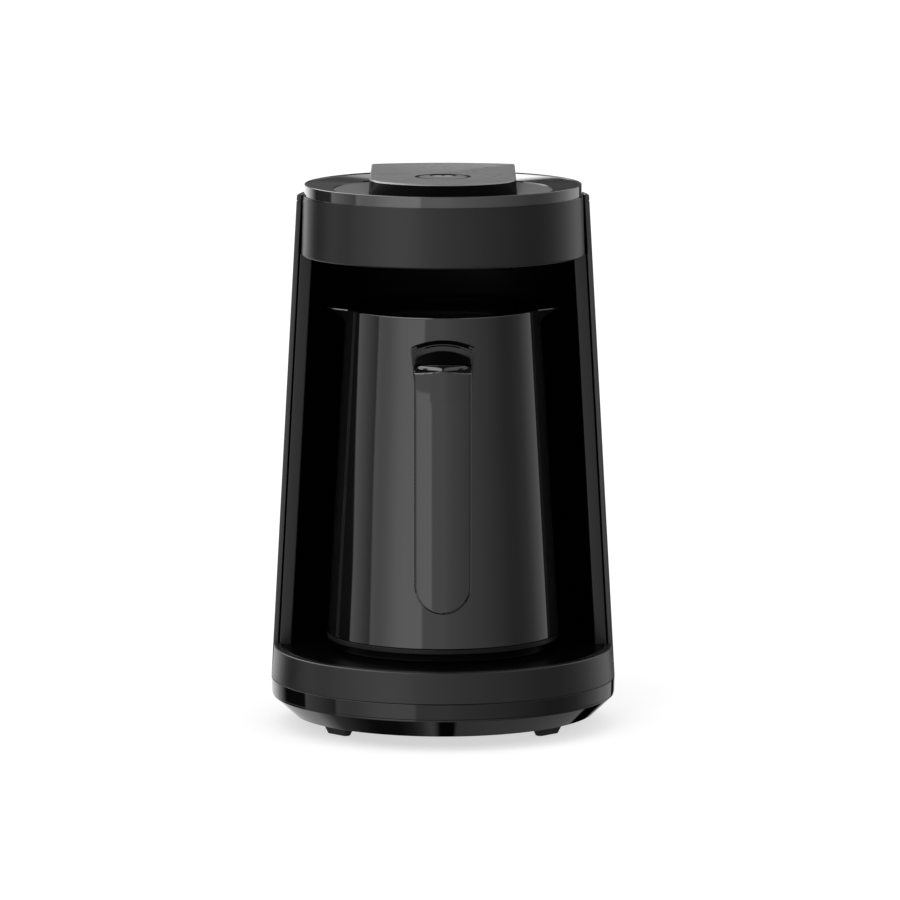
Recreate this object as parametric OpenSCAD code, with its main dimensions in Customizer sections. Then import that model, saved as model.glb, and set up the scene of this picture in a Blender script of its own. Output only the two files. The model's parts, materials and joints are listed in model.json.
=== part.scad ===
// Electric Turkish coffee maker: a round base, a half-round rear housing, a
// round head with a control pod, and a tall jug that stands in the open front.
// Millimetres. The origin is the middle of the feet plane, +Z is up and the
// open front, with the jug's handle, looks along -Y.

/* [Base] */
// Radius of the base, its widest part
base_r = 79.5; // [77:0.5:86]
// Height of the rubber feet
foot_h = 5.9; // [4:0.1:9]
// Width of a foot where it meets the base
foot_w = 16.2; // [14:0.1:18]
// Depth of a foot from its inner to its outer face, on the floor
foot_d = 4; // [3.5:0.1:6]
// Distance of a foot's middle from the middle of the base
foot_out = 57.9; // [57:0.1:59]
// Height of the tapered skirt
skirt_h = 9.2; // [8:0.1:12]
// How far the skirt draws in towards the floor
skirt_lean = 8.7; // [6:0.1:11]
// Thickness of the skirt's floor and wall
skirt_wall = 2.4; // [2:0.1:3]
// Height of the gloss trim ring
trim_h = 7.1; // [5:0.1:9]
// Height of the satin base band
band_h = 14.3; // [13:0.1:20]
// How far the band's top draws in
band_lean = 1.4; // [0.8:0.1:2]
// Radial thickness of the ring that carries the band round the back
band_ring = 1.9; // [1.5:0.1:2.2]
// Thickness of the deck plate
deck_t = 2.4; // [2:0.1:3]
// Radius of the raised platform under the jug
platform_r = 50; // [46:0.5:52]
// Height of the platform above the deck
platform_h = 3.8; // [3.5:0.1:6]

/* [Housing] */
// Outer radius of the rear housing at its top edge
shell_top_r = 67; // [66.6:0.1:68.4]
// Wall of the rear housing
shell_wall = 2.3; // [1.9:0.1:2.4]
// Shadow gap between the housing and the liner
liner_gap = 0.6; // [0.4:0.1:1]
// Width of the liner's flat front face
flange_w = 5.7; // [5:0.1:6.5]
// Wall of the liner
liner_wall = 2; // [1.6:0.1:2.4]
// Height of the open bay, from the deck to the head
bay_h = 181.4; // [179:0.1:195]

/* [Head] */
// Radius of the head at its lower edge
head_r = 65.1; // [64:0.1:65.4]
// How far the head's side draws in towards its top
head_lean = 0.9; // [0.5:0.1:1.5]
// Wall of the head band
head_wall = 2.2; // [1.8:0.1:3]
// Height of the satin head band
head_band_h = 27.5; // [25:0.1:30]
// Height of the gloss ring above the head band
head_ring_h = 5.2; // [4.5:0.1:7]
// Radius of the disc on the head's top, which is round about the button
disc_r = 49.8; // [48:0.1:51]
// Thickness of the head's floor and top plates
plate_t = 2.2; // [2:0.1:3]

/* [Control pod and button] */
// Height of the pod above the head
pod_h = 5.4; // [5.2:0.1:7]
// Half width of the pod's top
pod_half_w = 33.2; // [31:0.1:34]
// How much wider the pod is at its foot, each side
pod_flare = 0.3; // [0.1:0.1:1.5]
// Radius of the rounded nose of the pod's top
pod_nose_r = 34.2; // [34.1:0.1:36]
// Distance of the pod's back edge behind the middle
pod_back_y = 45; // [42:0.5:50]
// Wall of the pod
pod_wall = 1.9; // [1.6:0.1:2.2]
// Radius of the push button
button_r = 12.3; // [11:0.1:14]
// Distance of the button in front of the middle
button_y = 24; // [21:0.5:27]
// Travel of the push button
button_travel = 0.8; // [0.4:0.1:1]

/* [Jug] */
// Height of the jug
jug_h = 153.4; // [150:0.5:158]
// Outer radius at the foot
jug_foot_r = 53.7; // [52:0.1:55]
// Outer radius at the rim
jug_rim_r = 44.8; // [43:0.1:46]
// Height of the black foot ring
jug_ring_h = 3.1; // [3:0.1:5]
// Wall of the outer jug
jug_wall = 2; // [1.6:0.1:2.4]
// Air gap between the outer jug and the steel pot
pot_gap = 1.2; // [0.8:0.1:1.6]
// Wall of the steel pot
pot_wall = 1; // [0.8:0.1:1.4]
// Height of the pot's floor above the jug's underside
pot_floor_h = 38; // [36:0.5:50]
// Depth of the plain rim zone above the pot
rim_zone = 6; // [5.5:0.1:8]
// Reach of each pouring lip from the middle
lip_reach = 53.8; // [51:0.1:56]
// Depth of a pouring lip where it leaves the jug
lip_depth = 6.2; // [5.4:0.1:7]
// Half width of a pouring lip at the rim
lip_half_w = 11; // [8:0.5:14]

/* [Handle] */
// Width of the handle
handle_w = 25.7; // [22:0.1:28]
// Distance of the grip's front from the jug's axis
handle_reach = 76.5; // [74:0.1:78]
// Depth of the grip, front to back
handle_d = 11; // [9:0.1:12]
// Distance of the handle's top below the jug's rim
handle_drop = 10; // [8:0.1:15]
// Height of the grip's lower end above the jug's underside
handle_end_h = 22.6; // [18:0.1:40]

/* [Connector] */
// Width of the base's connector tongue
tongue_w = 14; // [12:0.5:16]
// Half length of the tongue
tongue_half = 14; // [11:0.5:15]
// Height of the tongue above the platform
tongue_h = 6; // [4.5:0.1:6.5]
// Distance between the three contacts
contact_pitch = 4; // [3.5:0.1:4.5]

/* [Cord inlet] */
// Radius of the cord inlet's bore
cord_bore_r = 3.5; // [3:0.1:3.8]
// Radius of the inlet bushing's neck
bushing_r = 4.9; // [4.6:0.1:5]

/* [Hidden] */

$fn = 128;
// Smoothness of the shapes that are hulled
hull_fn = 32;
// Overlap that makes a cut run clean past a face
past = 1;
// Small clearance between pieces that are fixed together
snug = 0.1;
// Clearance between pieces that move past each other
free = 0.3;

// Feet
foot_turn = 34.7;
foot_face = 45;
foot_lean = 1.8;
foot_round = 1.2;
foot_post_x = 48.5;
foot_post_y = 31.7;

// Levels, from the floor up
skirt_z = foot_h;
floor_z = skirt_z + skirt_wall;
trim_z = skirt_z + skirt_h;
band_z = trim_z + trim_h;
band_top_z = band_z + band_h;
deck_drop = 0.2;
deck_z = band_top_z - deck_drop;
deck_under_z = deck_z - deck_t;
jug_z = deck_z + platform_h;
head_z = deck_z + bay_h;
ring_z = head_z + head_band_h;
head_top_z = ring_z + head_ring_h;
shell_top_z = ring_z;
pod_top_z = head_top_z + pod_h;

// Radii of the base
skirt_inset = 0.5;
skirt_r = base_r - skirt_inset;
skirt_foot_r = skirt_r - skirt_lean;
band_edge = 1.2;
shell_slope = (base_r - shell_top_r) / (shell_top_z - band_z);
function shell_r(z) = base_r - shell_slope * (z - band_z);
ring_out_r = shell_r(band_top_z) - shell_wall - snug;
ring_in_r = ring_out_r - band_ring;
deck_r = ring_in_r - snug;

// Radii of the housing
function flange_out(z) = shell_r(z) - shell_wall - liner_gap;
function bay_r(z) = flange_out(z) - flange_w;

// Steam guard on the bay's back wall
guard_h = 13;
guard_t = 1.6;
guard_half_w = 31;

// Radii of the head
head_top_r = head_r - head_lean;
head_in_r = head_top_r - head_wall;
plate_r = head_in_r - snug;
head_round = 1;
top_z = head_top_z - 0.3;
plate_z = top_z - plate_t;
disc_recess = 0.2;
disc_top_z = top_z - disc_recess;
ledge_w = 3;
ledge_t = 1.6;
ledge_front = 8;
disc_gap = 0.2;

// Control pod
pod_foot_r = plate_r + 0.6;
pod_front_y = pod_foot_r - 1.2;
pod_back_r = 92;
pod_screw_x = pod_half_w - 7.3;
pod_screw_y = [-33, 10];

// Screws
shank_r = 1.2;
pilot_r = 1.25;
hole_r = 1.7;
screw_head_r = 2.9;
screw_head_h = 1.6;
boss_r = 3.8;
post_r = 3;
base_boss_ring = 60;
base_boss_at = [15, 165, 235, 305];
head_boss_ring = 55;
head_boss_at = [45, 135, 225, 315];
base_pad_h = 2;
pilot_depth = 12;
base_screw_l = 13;
base_seat_z = skirt_z + screw_head_h + 0.3;
head_pad_z = head_z + plate_t + 2;
head_seat_z = head_z + screw_head_h + 0.3;

// Boards
board_t = 1.6;
power_w = 76;
power_d = 42;
power_y = 21;
power_lift = 5.7;
power_z = floor_z + power_lift;
board_top = power_z + board_t;
board_edge = 4;
power_post_x = power_w / 2 - board_edge;
power_post_y = power_d / 2 - board_edge;
control_w = 44;
control_d = 34;
control_drop = 3.6;
control_top = plate_z - control_drop;
control_z = control_top - board_t;
control_post_x = control_w / 2 - board_edge;
control_post_y = control_d / 2 - board_edge;
sensor_w = 24;
sensor_lift = 4;
sensor_z = head_z + plate_t + sensor_lift;
window_r = 7;
window_lip = 1.5;
window_drop = 0.6;

// Parts on the boards
led_x = 7;
led_r = 1.5;
led_h = 3.2;
buzzer_r = 4.6;
buzzer_h = 2.8;
relay_w = 19;
relay_d = 15.4;
relay_h = 15.2;
relay_at = [-22, 22];
coil_w = 20;
coil_side = 4;
coil_h = 14;
coil_span = 14;
coil_r = 6;
coil_at = [22, 11];
can_r = 4;
can_h = 12;
can_at = [[-24, 8], [-14, 8], [2, 20]];
terminal_w = 18;
terminal_h = 9;

// Button and switch
button_hole_r = button_r + 0.25;
button_t = pod_wall + 0.4;
button_top_z = pod_top_z + 0.1;
button_under_z = button_top_z - button_t;
button_lip = 1.2;
button_lip_z = pod_top_z - pod_wall - free - button_lip;
stem_r = 2.6;
icon_r = 5.9;
icon_t = 0.8;
switch_w = 6.2;
switch_h = 3.5;
plunger_r = 1.7;
plunger_gap = 0.06;
switch_top_z = control_top + switch_h;
plunger_top_z = switch_top_z + button_travel + 0.2;
plunger_in = 1.2;
// Round window in the top disc that clears the square switch
stem_hole_r = switch_w / sqrt(2) + 0.4;

// Jug
function jug_out(z) =
  jug_foot_r - (jug_foot_r - jug_rim_r) * (z - jug_z) / jug_h;
jug_top_z = jug_z + jug_h;
shell_foot_z = jug_z + jug_ring_h;
rim_z = jug_top_z - rim_zone;
function jug_in(z) = jug_out(z) - jug_wall;
function pot_out(z) = jug_in(z) - pot_gap;
function pot_in(z) = pot_out(z) - pot_wall;
rim_in_r = pot_in(rim_z);
pot_z = jug_z + pot_floor_h - pot_wall;
seal_t = 0.8;
pot_top_z = rim_z - seal_t;
pot_lip = pot_gap - 0.2;
lip_wall = 1.3;
lip_tip = 1.1;
base_floor_t = 2.2;
spigot_h = 6;
spigot_wall = 2;

// Heater
spreader_t = 3;
spreader_z = pot_z - spreader_t;
element_r = 3.2;
element_ring = 30;
cutout_r = 8;
cutout_h = 8;
jug_boss_ring = 40;
jug_boss_at = [30, 150, 270];
jug_seat_z = jug_z + 14;
spreader_r = jug_boss_ring + boss_r + 1.5;

// Connector
tongue_top_z = jug_z + tongue_h;
tongue_flange = 4;
tongue_flange_t = 2.4;
blade_t = 1;
blade_half = 10;
blade_tail = 4;
channel_gap = 1;
channel_w = tongue_w + 2 * channel_gap;
channel_front = tongue_half + channel_gap;
channel_top_z = tongue_top_z + channel_gap;
socket_wall = 1.6;
socket_top_z = channel_top_z + socket_wall;
platform_under_z = jug_z - deck_t;
platform_in_r = platform_r - deck_t;
wire_r = 0.9;
wire_y = 6;

// Cord inlet
inlet_z = (band_z + deck_under_z) / 2;
bushing_flange_r = bushing_r + 0.7;
bushing_flange_t = 1.2;
bushing_face = base_r - 0.1;
bushing_in = 11;
bushing_lock = 1.4;
bushing_lock_r = bushing_r + 0.5;
clamp_y = base_r - 21;
clamp_d = 8;
clamp_half_w = 13;
clamp_t = 3;
clamp_screw_x = 9;
clamp_top_z = inlet_z - cord_bore_r + 0.6;

// Signal cable up the housing
cable_w = 12;
cable_t = 1;
cable_turn = -30;
cable_off = 0.4;
cable_low_z = deck_under_z - 4;
cable_high_z = control_z - snug;
cable_board_r = 42;
cable_end_r = -10;
cable_slot_out = 1.5;

// Handle
collar_over = 1.95;
collar_half = handle_w / 2 + collar_over;
collar_front = 4.5;
arm_drop = 22;
handle_top_z = jug_top_z - handle_drop;
handle_end_z = jug_z + handle_end_h;
collar_low_z = handle_top_z - 24;
grip_back = handle_reach - handle_d;
grip_top_z = handle_top_z - 8.5;
grip_edge = 1.6;
arch_rise = 5;
collar_y = jug_out(handle_top_z) + collar_front;
groove_d = 2.4;
groove_in = 1.6;
cover_t = 1.2;
cover_inset = 3.2;
handle_screw_z = [handle_top_z - 8, handle_top_z - 18];

// ---------------------------------------------------------------- helpers

// Half of a turned shape; "back" keeps y > 0, otherwise y < 0
module half_turned(back = true) {
  rotate([0, 0, back ? 0 : 180]) rotate_extrude(angle = 180) children();
}

// A copy of the children at each angle on a ring
module around(ring, angles) {
  for (a = angles) rotate([0, 0, a]) translate([ring, 0, 0]) children();
}

// A copy at each of four corners
module corners(x, y) {
  for (sx = [-1, 1], sy = [-1, 1]) translate([sx * x, sy * y, 0]) children();
}

// An upright cylinder between two levels
module upright(r, z0, z1) {
  translate([0, 0, z0]) cylinder(r = r, h = z1 - z0);
}

// A box given by its middle in plan, its size and its levels
module block(w, d, z0, z1, x = 0, y = 0) {
  translate([x - w / 2, y - d / 2, z0]) cube([w, d, z1 - z0]);
}

// A pan-head screw whose head sits below the seat and points up
module screw_up(seat_z, length) {
  upright(screw_head_r, seat_z - screw_head_h, seat_z);
  upright(shank_r, seat_z - snug, seat_z + length);
}

// The same screw, pointing down
module screw_down(seat_z, length) {
  upright(screw_head_r, seat_z, seat_z + screw_head_h);
  upright(shank_r, seat_z - length, seat_z + snug);
}

// A cone frustum that follows a radius rule between two levels
module frustum(r0, r1, z0, z1) {
  translate([0, 0, z0]) cylinder(r1 = r0, r2 = r1, h = z1 - z0);
}

// ------------------------------------------------------------------- base

// A foot's plan at a level, drawn out by "grow" from its plan on the floor
module foot_plan(z, grow) {
  half_w = foot_w / 2 - foot_lean + grow - foot_round;
  half_d = foot_d / 2 + grow - foot_round;
  translate([0, 0, z]) linear_extrude(0.2) hull()
    for (x = [-half_d, half_d], y = [-half_w, half_w])
      translate([x, y]) circle(r = foot_round, $fn = 16);
}

module feet() {
  color("#181818") {
    for (side = [0, 180], way = [-1, 1])
      rotate([0, 0, side + way * foot_turn]) translate([foot_out, 0, 0])
        rotate([0, 0, way * (foot_face - foot_turn)]) hull() {
          foot_plan(0, -0.3);
          foot_plan(0.6, 0);
          foot_plan(foot_h - 0.2, foot_lean);
        }
    corners(foot_post_x, foot_post_y)
      upright(post_r - snug, foot_h - snug, floor_z + 1);
  }
}

module base_skirt() {
  color("#0d0d0e") difference() {
    union() {
      rotate_extrude() polygon([
        [0, skirt_z], [skirt_foot_r, skirt_z], [skirt_r, trim_z],
        [skirt_r - skirt_wall, trim_z],
        [skirt_foot_r - 0.4 * skirt_wall, floor_z], [0, floor_z]
      ]);
      around(base_boss_ring, base_boss_at)
        upright(boss_r + 1, floor_z - snug, floor_z + base_pad_h);
      translate([0, power_y, 0]) corners(power_post_x, power_post_y)
        upright(post_r, floor_z - snug, power_z);
    }
    corners(foot_post_x, foot_post_y)
      upright(post_r, skirt_z - past, floor_z + past);
    around(base_boss_ring, base_boss_at) {
      upright(hole_r, skirt_z - past, floor_z + base_pad_h + past);
      upright(screw_head_r + 0.4, skirt_z - past, base_seat_z);
    }
    translate([0, power_y, 0]) corners(power_post_x, power_post_y)
      upright(pilot_r, floor_z + 1, power_z + past);
  }
}

module base_trim_ring() {
  color("#101012") rotate_extrude() polygon([
    [skirt_r - 2 * skirt_wall, trim_z], [base_r - 0.4, trim_z],
    [base_r, trim_z + 0.4], [base_r, band_z], [skirt_r - 2 * skirt_wall, band_z]
  ]);
}

module base_band() {
  top_r = base_r - band_lean;
  color("#3a3b3d") difference() {
    union() {
      rotate_extrude() polygon([
        [ring_in_r, band_z], [ring_out_r, band_z],
        [ring_out_r, band_top_z - 0.4], [ring_in_r, band_top_z - 0.4]
      ]);
      half_turned(false) {
        polygon([
          [ring_in_r, band_z], [base_r, band_z],
          [top_r, band_top_z - band_edge],
          [top_r - band_edge, band_top_z], [ring_in_r, band_top_z]
        ]);
        translate([top_r - band_edge, band_top_z - band_edge])
          circle(r = band_edge, $fn = hull_fn);
      }
    }
    translate([0, base_r, inlet_z]) rotate([90, 0, 0])
      cylinder(r = bushing_r + snug, h = base_r);
  }
}

module base_deck() {
  color("#0a0a0b") difference() {
    union() {
      rotate_extrude() polygon([
        [0, platform_under_z], [platform_in_r, platform_under_z],
        [platform_in_r, deck_under_z], [deck_r, deck_under_z],
        [deck_r, deck_z], [platform_r, deck_z],
        [platform_r - 0.4, jug_z - 0.6], [platform_r - 1, jug_z], [0, jug_z]
      ]);
      around(base_boss_ring, base_boss_at)
        upright(boss_r, floor_z + base_pad_h, deck_under_z + snug);
      for (sx = [-1, 1]) translate([sx * clamp_screw_x, clamp_y, 0])
        upright(post_r, clamp_top_z, deck_under_z + snug);
    }
    around(base_boss_ring, base_boss_at)
      upright(pilot_r, floor_z + base_pad_h - past, floor_z + base_pad_h + pilot_depth);
    for (sx = [-1, 1]) translate([sx * clamp_screw_x, clamp_y, 0])
      upright(pilot_r, clamp_top_z - past, clamp_top_z + 6);
    block(tongue_w + 2 * snug, 2 * tongue_half + 2 * snug,
          platform_under_z - past, jug_z + past);
    cable_slot(deck_under_z - past, deck_z + past);
  }
}

// ---------------------------------------------------------------- housing

module rear_shell() {
  edge = shell_wall / 2;
  color("#3c3d3f") difference() {
    half_turned() {
      polygon([
        [shell_r(band_z) - shell_wall, band_z], [shell_r(band_z), band_z],
        [shell_top_r, shell_top_z - edge],
        [shell_top_r - shell_wall, shell_top_z - edge]
      ]);
      translate([shell_top_r - edge, shell_top_z - edge])
        circle(r = edge, $fn = hull_fn);
    }
    translate([0, base_r + past, inlet_z]) rotate([90, 0, 0]) {
      cylinder(r = bushing_r + snug, h = base_r);
      cylinder(r = bushing_flange_r + snug,
               h = past + base_r - bushing_face + bushing_flange_t);
    }
  }
}

module cavity_liner() {
  color("#1a1b1c") {
    half_turned() polygon([
      [bay_r(deck_z), deck_z], [bay_r(deck_z) + liner_wall, deck_z],
      [bay_r(head_z) + liner_wall, head_z], [bay_r(head_z), head_z]
    ]);
    intersection() {
      half_turned() polygon([
        [bay_r(deck_z) + liner_wall / 2, deck_z], [flange_out(deck_z), deck_z],
        [flange_out(head_z), head_z],
        [bay_r(head_z) + liner_wall / 2, head_z]
      ]);
      block(2 * base_r, 2 * liner_wall, deck_z, head_z);
    }
  }
}

// Curved guard on the bay's back wall, just under the head
module steam_guard() {
  low_z = head_z - guard_h;
  color("#222325") intersection() {
    half_turned() polygon([
      [bay_r(low_z) - guard_t, low_z], [bay_r(low_z) - snug / 2, low_z],
      [bay_r(head_z) - snug / 2, head_z], [bay_r(head_z) - guard_t, head_z]
    ]);
    block(2 * guard_half_w, base_r, low_z, head_z, 0, base_r / 2);
  }
}

// ------------------------------------------------------------------- head

module head_floor() {
  color("#0c0c0d") difference() {
    union() {
      upright(head_in_r, head_z, head_z + plate_t);
      around(head_boss_ring, head_boss_at)
        upright(boss_r + 1, head_z + plate_t - snug, head_pad_z);
    }
    around(head_boss_ring, head_boss_at) {
      upright(hole_r, head_z - past, head_pad_z + past);
      upright(screw_head_r + 0.3, head_z - past, head_seat_z);
    }
    cable_slot(head_z - past, head_z + plate_t + past);
    upright(window_r + snug, head_z - past, head_z + plate_t + past);
    corners(sensor_w / 2 - 3, sensor_w / 2 - 3)
      upright(pilot_r, head_z + 1, head_z + plate_t + past);
  }
  color("#0c0c0d") corners(sensor_w / 2 - 3, sensor_w / 2 - 3) difference() {
    upright(2.4, head_z + plate_t - snug, sensor_z);
    upright(pilot_r, head_z + 1, sensor_z + past);
  }
}

module head_band() {
  color("#3c3d3f") difference() {
    rotate_extrude() difference() {
      union() {
        polygon([
          [head_in_r + snug, head_z], [head_r - head_round, head_z],
          [head_r, head_z + head_round], [head_top_r, ring_z],
          [head_in_r + snug, ring_z]
        ]);
        translate([head_r - head_round, head_z + head_round])
          circle(r = head_round, $fn = 2 * hull_fn);
      }
      translate([0, head_z - past])
        square([head_in_r + snug, head_band_h + 2 * past]);
    }
    cable_slot(head_z - past, cable_high_z + 2 * snug);
  }
}

module head_trim_ring() {
  color("#141416") rotate_extrude() polygon([
    [head_in_r, ring_z], [head_top_r, ring_z],
    [head_top_r, head_top_z - 0.5], [head_top_r - 0.15, head_top_z - 0.15],
    [head_top_r - 0.5, head_top_z], [plate_r + snug, head_top_z],
    [plate_r + snug, ring_z + 0.6], [head_in_r, ring_z + 0.6]
  ]);
}

// What lies inside a circle about the button and one about the head
module disc_plan(round_button, round_head) {
  intersection() {
    translate([0, -button_y]) circle(r = round_button);
    circle(r = round_head);
  }
}

// A crescent beside and behind the disc, with the ledge that the disc lies on
module top_plate() {
  color("#2a2b2d") difference() {
    union() {
      upright(plate_r, plate_z, top_z);
      translate([0, 0, plate_z - ledge_t]) linear_extrude(ledge_t + snug)
        disc_plan(disc_r + disc_gap + ledge_w, plate_r - 0.5);
      around(head_boss_ring, head_boss_at)
        upright(boss_r, head_pad_z, plate_z + snug);
    }
    translate([0, 0, plate_z - ledge_t - past]) linear_extrude(10)
      disc_plan(disc_r - ledge_w, plate_r - ledge_front);
    translate([0, -button_y, 0])
      upright(disc_r + disc_gap, plate_z, top_z + past);
    around(head_boss_ring, head_boss_at)
      upright(pilot_r, head_pad_z - past, head_pad_z + pilot_depth);
  }
}

module top_disc() {
  color("#3a3b3d") difference() {
    union() {
      translate([0, 0, plate_z]) linear_extrude(disc_top_z - plate_z)
        disc_plan(disc_r, plate_r);
      translate([0, -button_y, 0]) corners(control_post_x, control_post_y)
        upright(2.6, control_top, plate_z + snug);
    }
    translate([0, -button_y, 0]) {
      upright(stem_hole_r, plate_z - past, disc_top_z + past);
      corners(control_post_x, control_post_y)
        upright(pilot_r, control_top - past, plate_z);
    }
    pod_screw_places() upright(hole_r, plate_z - past, disc_top_z + past);
  }
}

// The pod's plan at its top and at its foot
module pod_plan_top(inset = 0) {
  half = pod_half_w - inset;
  nose = pod_nose_r - inset;
  nose_y = pod_nose_r - pod_front_y;
  intersection() {
    union() {
      translate([0, nose_y]) circle(r = nose);
      translate([-half, nose_y]) square([2 * half, pod_back_y + pod_front_y]);
    }
    translate([-half, -base_r]) square([2 * half, 2 * base_r]);
    translate([0, pod_back_y - inset - pod_back_r]) circle(r = pod_back_r);
  }
}
module pod_plan_foot(inset = 0) {
  half = pod_half_w + pod_flare - inset;
  intersection() {
    translate([-half, -base_r]) square([2 * half, 2 * base_r]);
    circle(r = pod_foot_r - inset);
    translate([0, pod_back_y + pod_flare - inset - pod_back_r])
      circle(r = pod_back_r);
  }
}
module pod_screw_places() {
  for (sx = [-1, 1], y = pod_screw_y) translate([sx * pod_screw_x, y, 0])
    children();
}

module control_pod() {
  thin = 0.2;
  color("#303133") {
    difference() {
      hull() {
        translate([0, 0, head_top_z]) linear_extrude(thin) pod_plan_foot();
        translate([0, 0, pod_top_z - thin]) linear_extrude(thin) pod_plan_top();
      }
      hull() {
        translate([0, 0, head_top_z - past]) linear_extrude(thin + past)
          pod_plan_foot(2 * pod_wall);
        translate([0, 0, pod_top_z - pod_wall - thin]) linear_extrude(thin)
          pod_plan_top(pod_wall);
      }
      translate([0, -button_y, 0])
        upright(button_hole_r, head_top_z, pod_top_z + past);
    }
    pod_screw_places() difference() {
      upright(2.6, disc_top_z, pod_top_z - pod_wall + snug);
      upright(pilot_r, disc_top_z - past, disc_top_z + 3);
    }
  }
}

// ------------------------------------------------------------ electronics

module sensor_window() {
  color("#2b0f14") {
    upright(window_r, head_z - window_drop, head_z + plate_t);
    upright(window_r + window_lip, head_z + plate_t, head_z + plate_t + 0.8);
    upright(3, head_z + plate_t, sensor_z);
  }
}

module sensor_board() {
  color("#1f5f3a") difference() {
    block(sensor_w, sensor_w, sensor_z, sensor_z + board_t);
    corners(sensor_w / 2 - 3, sensor_w / 2 - 3)
      upright(hole_r - 0.2, sensor_z - past, sensor_z + board_t + past);
  }
}

module control_board() {
  color("#1f5f3a") translate([0, -button_y, 0]) difference() {
    block(control_w, control_d, control_z, control_top);
    corners(control_post_x, control_post_y)
      upright(hole_r - 0.2, control_z - past, control_top + past);
  }
}

module tact_switch() {
  color("#202020") translate([0, -button_y, 0]) difference() {
    block(switch_w, switch_w, control_top, switch_top_z);
    upright(plunger_r + plunger_gap,
            switch_top_z - plunger_in - button_travel - 0.4, switch_top_z + past);
  }
}

module indicator_leds() {
  color("#e8e4d8") for (sx = [-1, 1]) translate([sx * led_x, -button_y, 0]) {
    upright(led_r, control_top, control_top + led_h - led_r);
    translate([0, 0, control_top + led_h - led_r]) sphere(r = led_r, $fn = hull_fn);
  }
}

module buzzer() {
  color("#151515") translate([control_post_x - 9, -button_y + control_post_y - 4, 0])
    difference() {
      upright(buzzer_r, control_top, control_top + buzzer_h);
      upright(1, control_top + buzzer_h - 0.8, control_top + buzzer_h + past);
    }
}

module power_board() {
  color("#1f5f3a") translate([0, power_y, 0]) difference() {
    block(power_w, power_d, power_z, board_top);
    corners(power_post_x, power_post_y)
      upright(hole_r, power_z - past, board_top + past);
  }
}

module power_relay() {
  color("#1b3f74") block(relay_w, relay_d, board_top,
        board_top + relay_h, relay_at[0], relay_at[1]);
}

module supply_coil() {
  color("#c8a23c") {
    for (y = [coil_at[1] - coil_side / 2, coil_at[1] + coil_span + coil_side / 2])
      block(coil_w, coil_side, board_top, board_top + coil_h, coil_at[0], y);
    translate([coil_at[0], coil_at[1], board_top + coil_h / 2])
      rotate([-90, 0, 0]) cylinder(r = coil_r, h = coil_span);
  }
}

module filter_capacitors() {
  color("#39424e") for (p = can_at) translate([p[0], p[1], 0]) difference() {
    upright(can_r, board_top, board_top + can_h);
    translate([-can_r, -0.3, board_top + can_h - 0.3]) cube([2 * can_r, 0.6, past]);
  }
}

module terminal_block() {
  y = power_y + power_d / 2 - 5;
  color("#3f8f4f") difference() {
    block(terminal_w, 8, board_top, board_top + terminal_h, 0, y);
    for (i = [-1, 0, 1]) translate([i * 5.5, y, 0])
      upright(1.7, board_top + terminal_h - 3, board_top + terminal_h + past);
  }
}

// Radius of the cable's inner face behind the liner
function cable_r(z) = bay_r(z) + liner_wall + cable_off;

// Slot that lets the cable pass a plate or a wall at the back
module cable_slot(z0, z1) {
  rotate([0, 0, cable_turn])
    block(cable_w + 2, 8, z0, z1, 0, cable_r(z1) + cable_slot_out);
}

// Flat cable from the power board, up behind the liner, into the head
module signal_cable() {
  low_r = cable_r(cable_low_z);
  high_r = cable_r(cable_high_z);
  color("#8d8f93") rotate([0, 0, cable_turn]) translate([-cable_w / 2, 0, 0])
    rotate([90, 0, 90]) linear_extrude(cable_w) polygon([
      [cable_board_r, board_top], [cable_board_r + cable_t, board_top],
      [cable_board_r + cable_t, cable_low_z], [low_r + cable_t, cable_low_z],
      [high_r + cable_t, cable_high_z], [cable_end_r, cable_high_z],
      [cable_end_r, cable_high_z - cable_t], [high_r, cable_high_z - cable_t],
      [low_r, cable_low_z + cable_t], [cable_board_r, cable_low_z + cable_t]
    ]);
}

module base_wires() {
  color("#b03028") for (i = [-1, 0, 1])
    translate([i * contact_pitch, wire_y, 0])
      upright(wire_r, board_top, platform_under_z - tongue_flange_t - blade_tail);
}

module connector_tongue() {
  flange_w2 = tongue_w + 2 * tongue_flange;
  flange_d2 = 2 * (tongue_half + tongue_flange);
  color("#17181a") difference() {
    union() {
      block(tongue_w, 2 * tongue_half,
            platform_under_z - snug, tongue_top_z);
      block(flange_w2, flange_d2, platform_under_z - tongue_flange_t,
            platform_under_z);
    }
    for (i = [-1, 0, 1])
      block(blade_t + 2 * snug, 2 * blade_half + 2 * snug,
            platform_under_z - tongue_flange_t - past,
            tongue_top_z + past, i * contact_pitch);
  }
}

module connector_blades() {
  color("#c9a14a") for (i = [-1, 0, 1])
    block(blade_t, 2 * blade_half,
          platform_under_z - tongue_flange_t - blade_tail,
          tongue_top_z, i * contact_pitch);
}

module cord_bushing() {
  color("#1b1b1b") translate([0, bushing_face, inlet_z]) rotate([90, 0, 0])
    difference() {
      union() {
        cylinder(r = bushing_flange_r, h = bushing_flange_t);
        cylinder(r = bushing_r, h = bushing_in);
        translate([0, 0, bushing_in - bushing_lock])
          cylinder(r = bushing_lock_r, h = bushing_lock);
      }
      translate([0, 0, -past]) cylinder(r = cord_bore_r, h = bushing_in + 2 * past);
    }
}

module cord_clamp() {
  color("#26272a") difference() {
    block(2 * clamp_half_w, clamp_d, clamp_top_z - clamp_t, clamp_top_z, 0, clamp_y);
    for (sx = [-1, 1]) translate([sx * clamp_screw_x, clamp_y, 0])
      upright(hole_r, clamp_top_z - clamp_t - past, clamp_top_z + past);
    translate([0, clamp_y - clamp_d, clamp_top_z + 1]) rotate([-90, 0, 0])
      cylinder(r = cord_bore_r, h = 2 * clamp_d);
  }
}

// ----------------------------------------------------------------- screws

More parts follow.
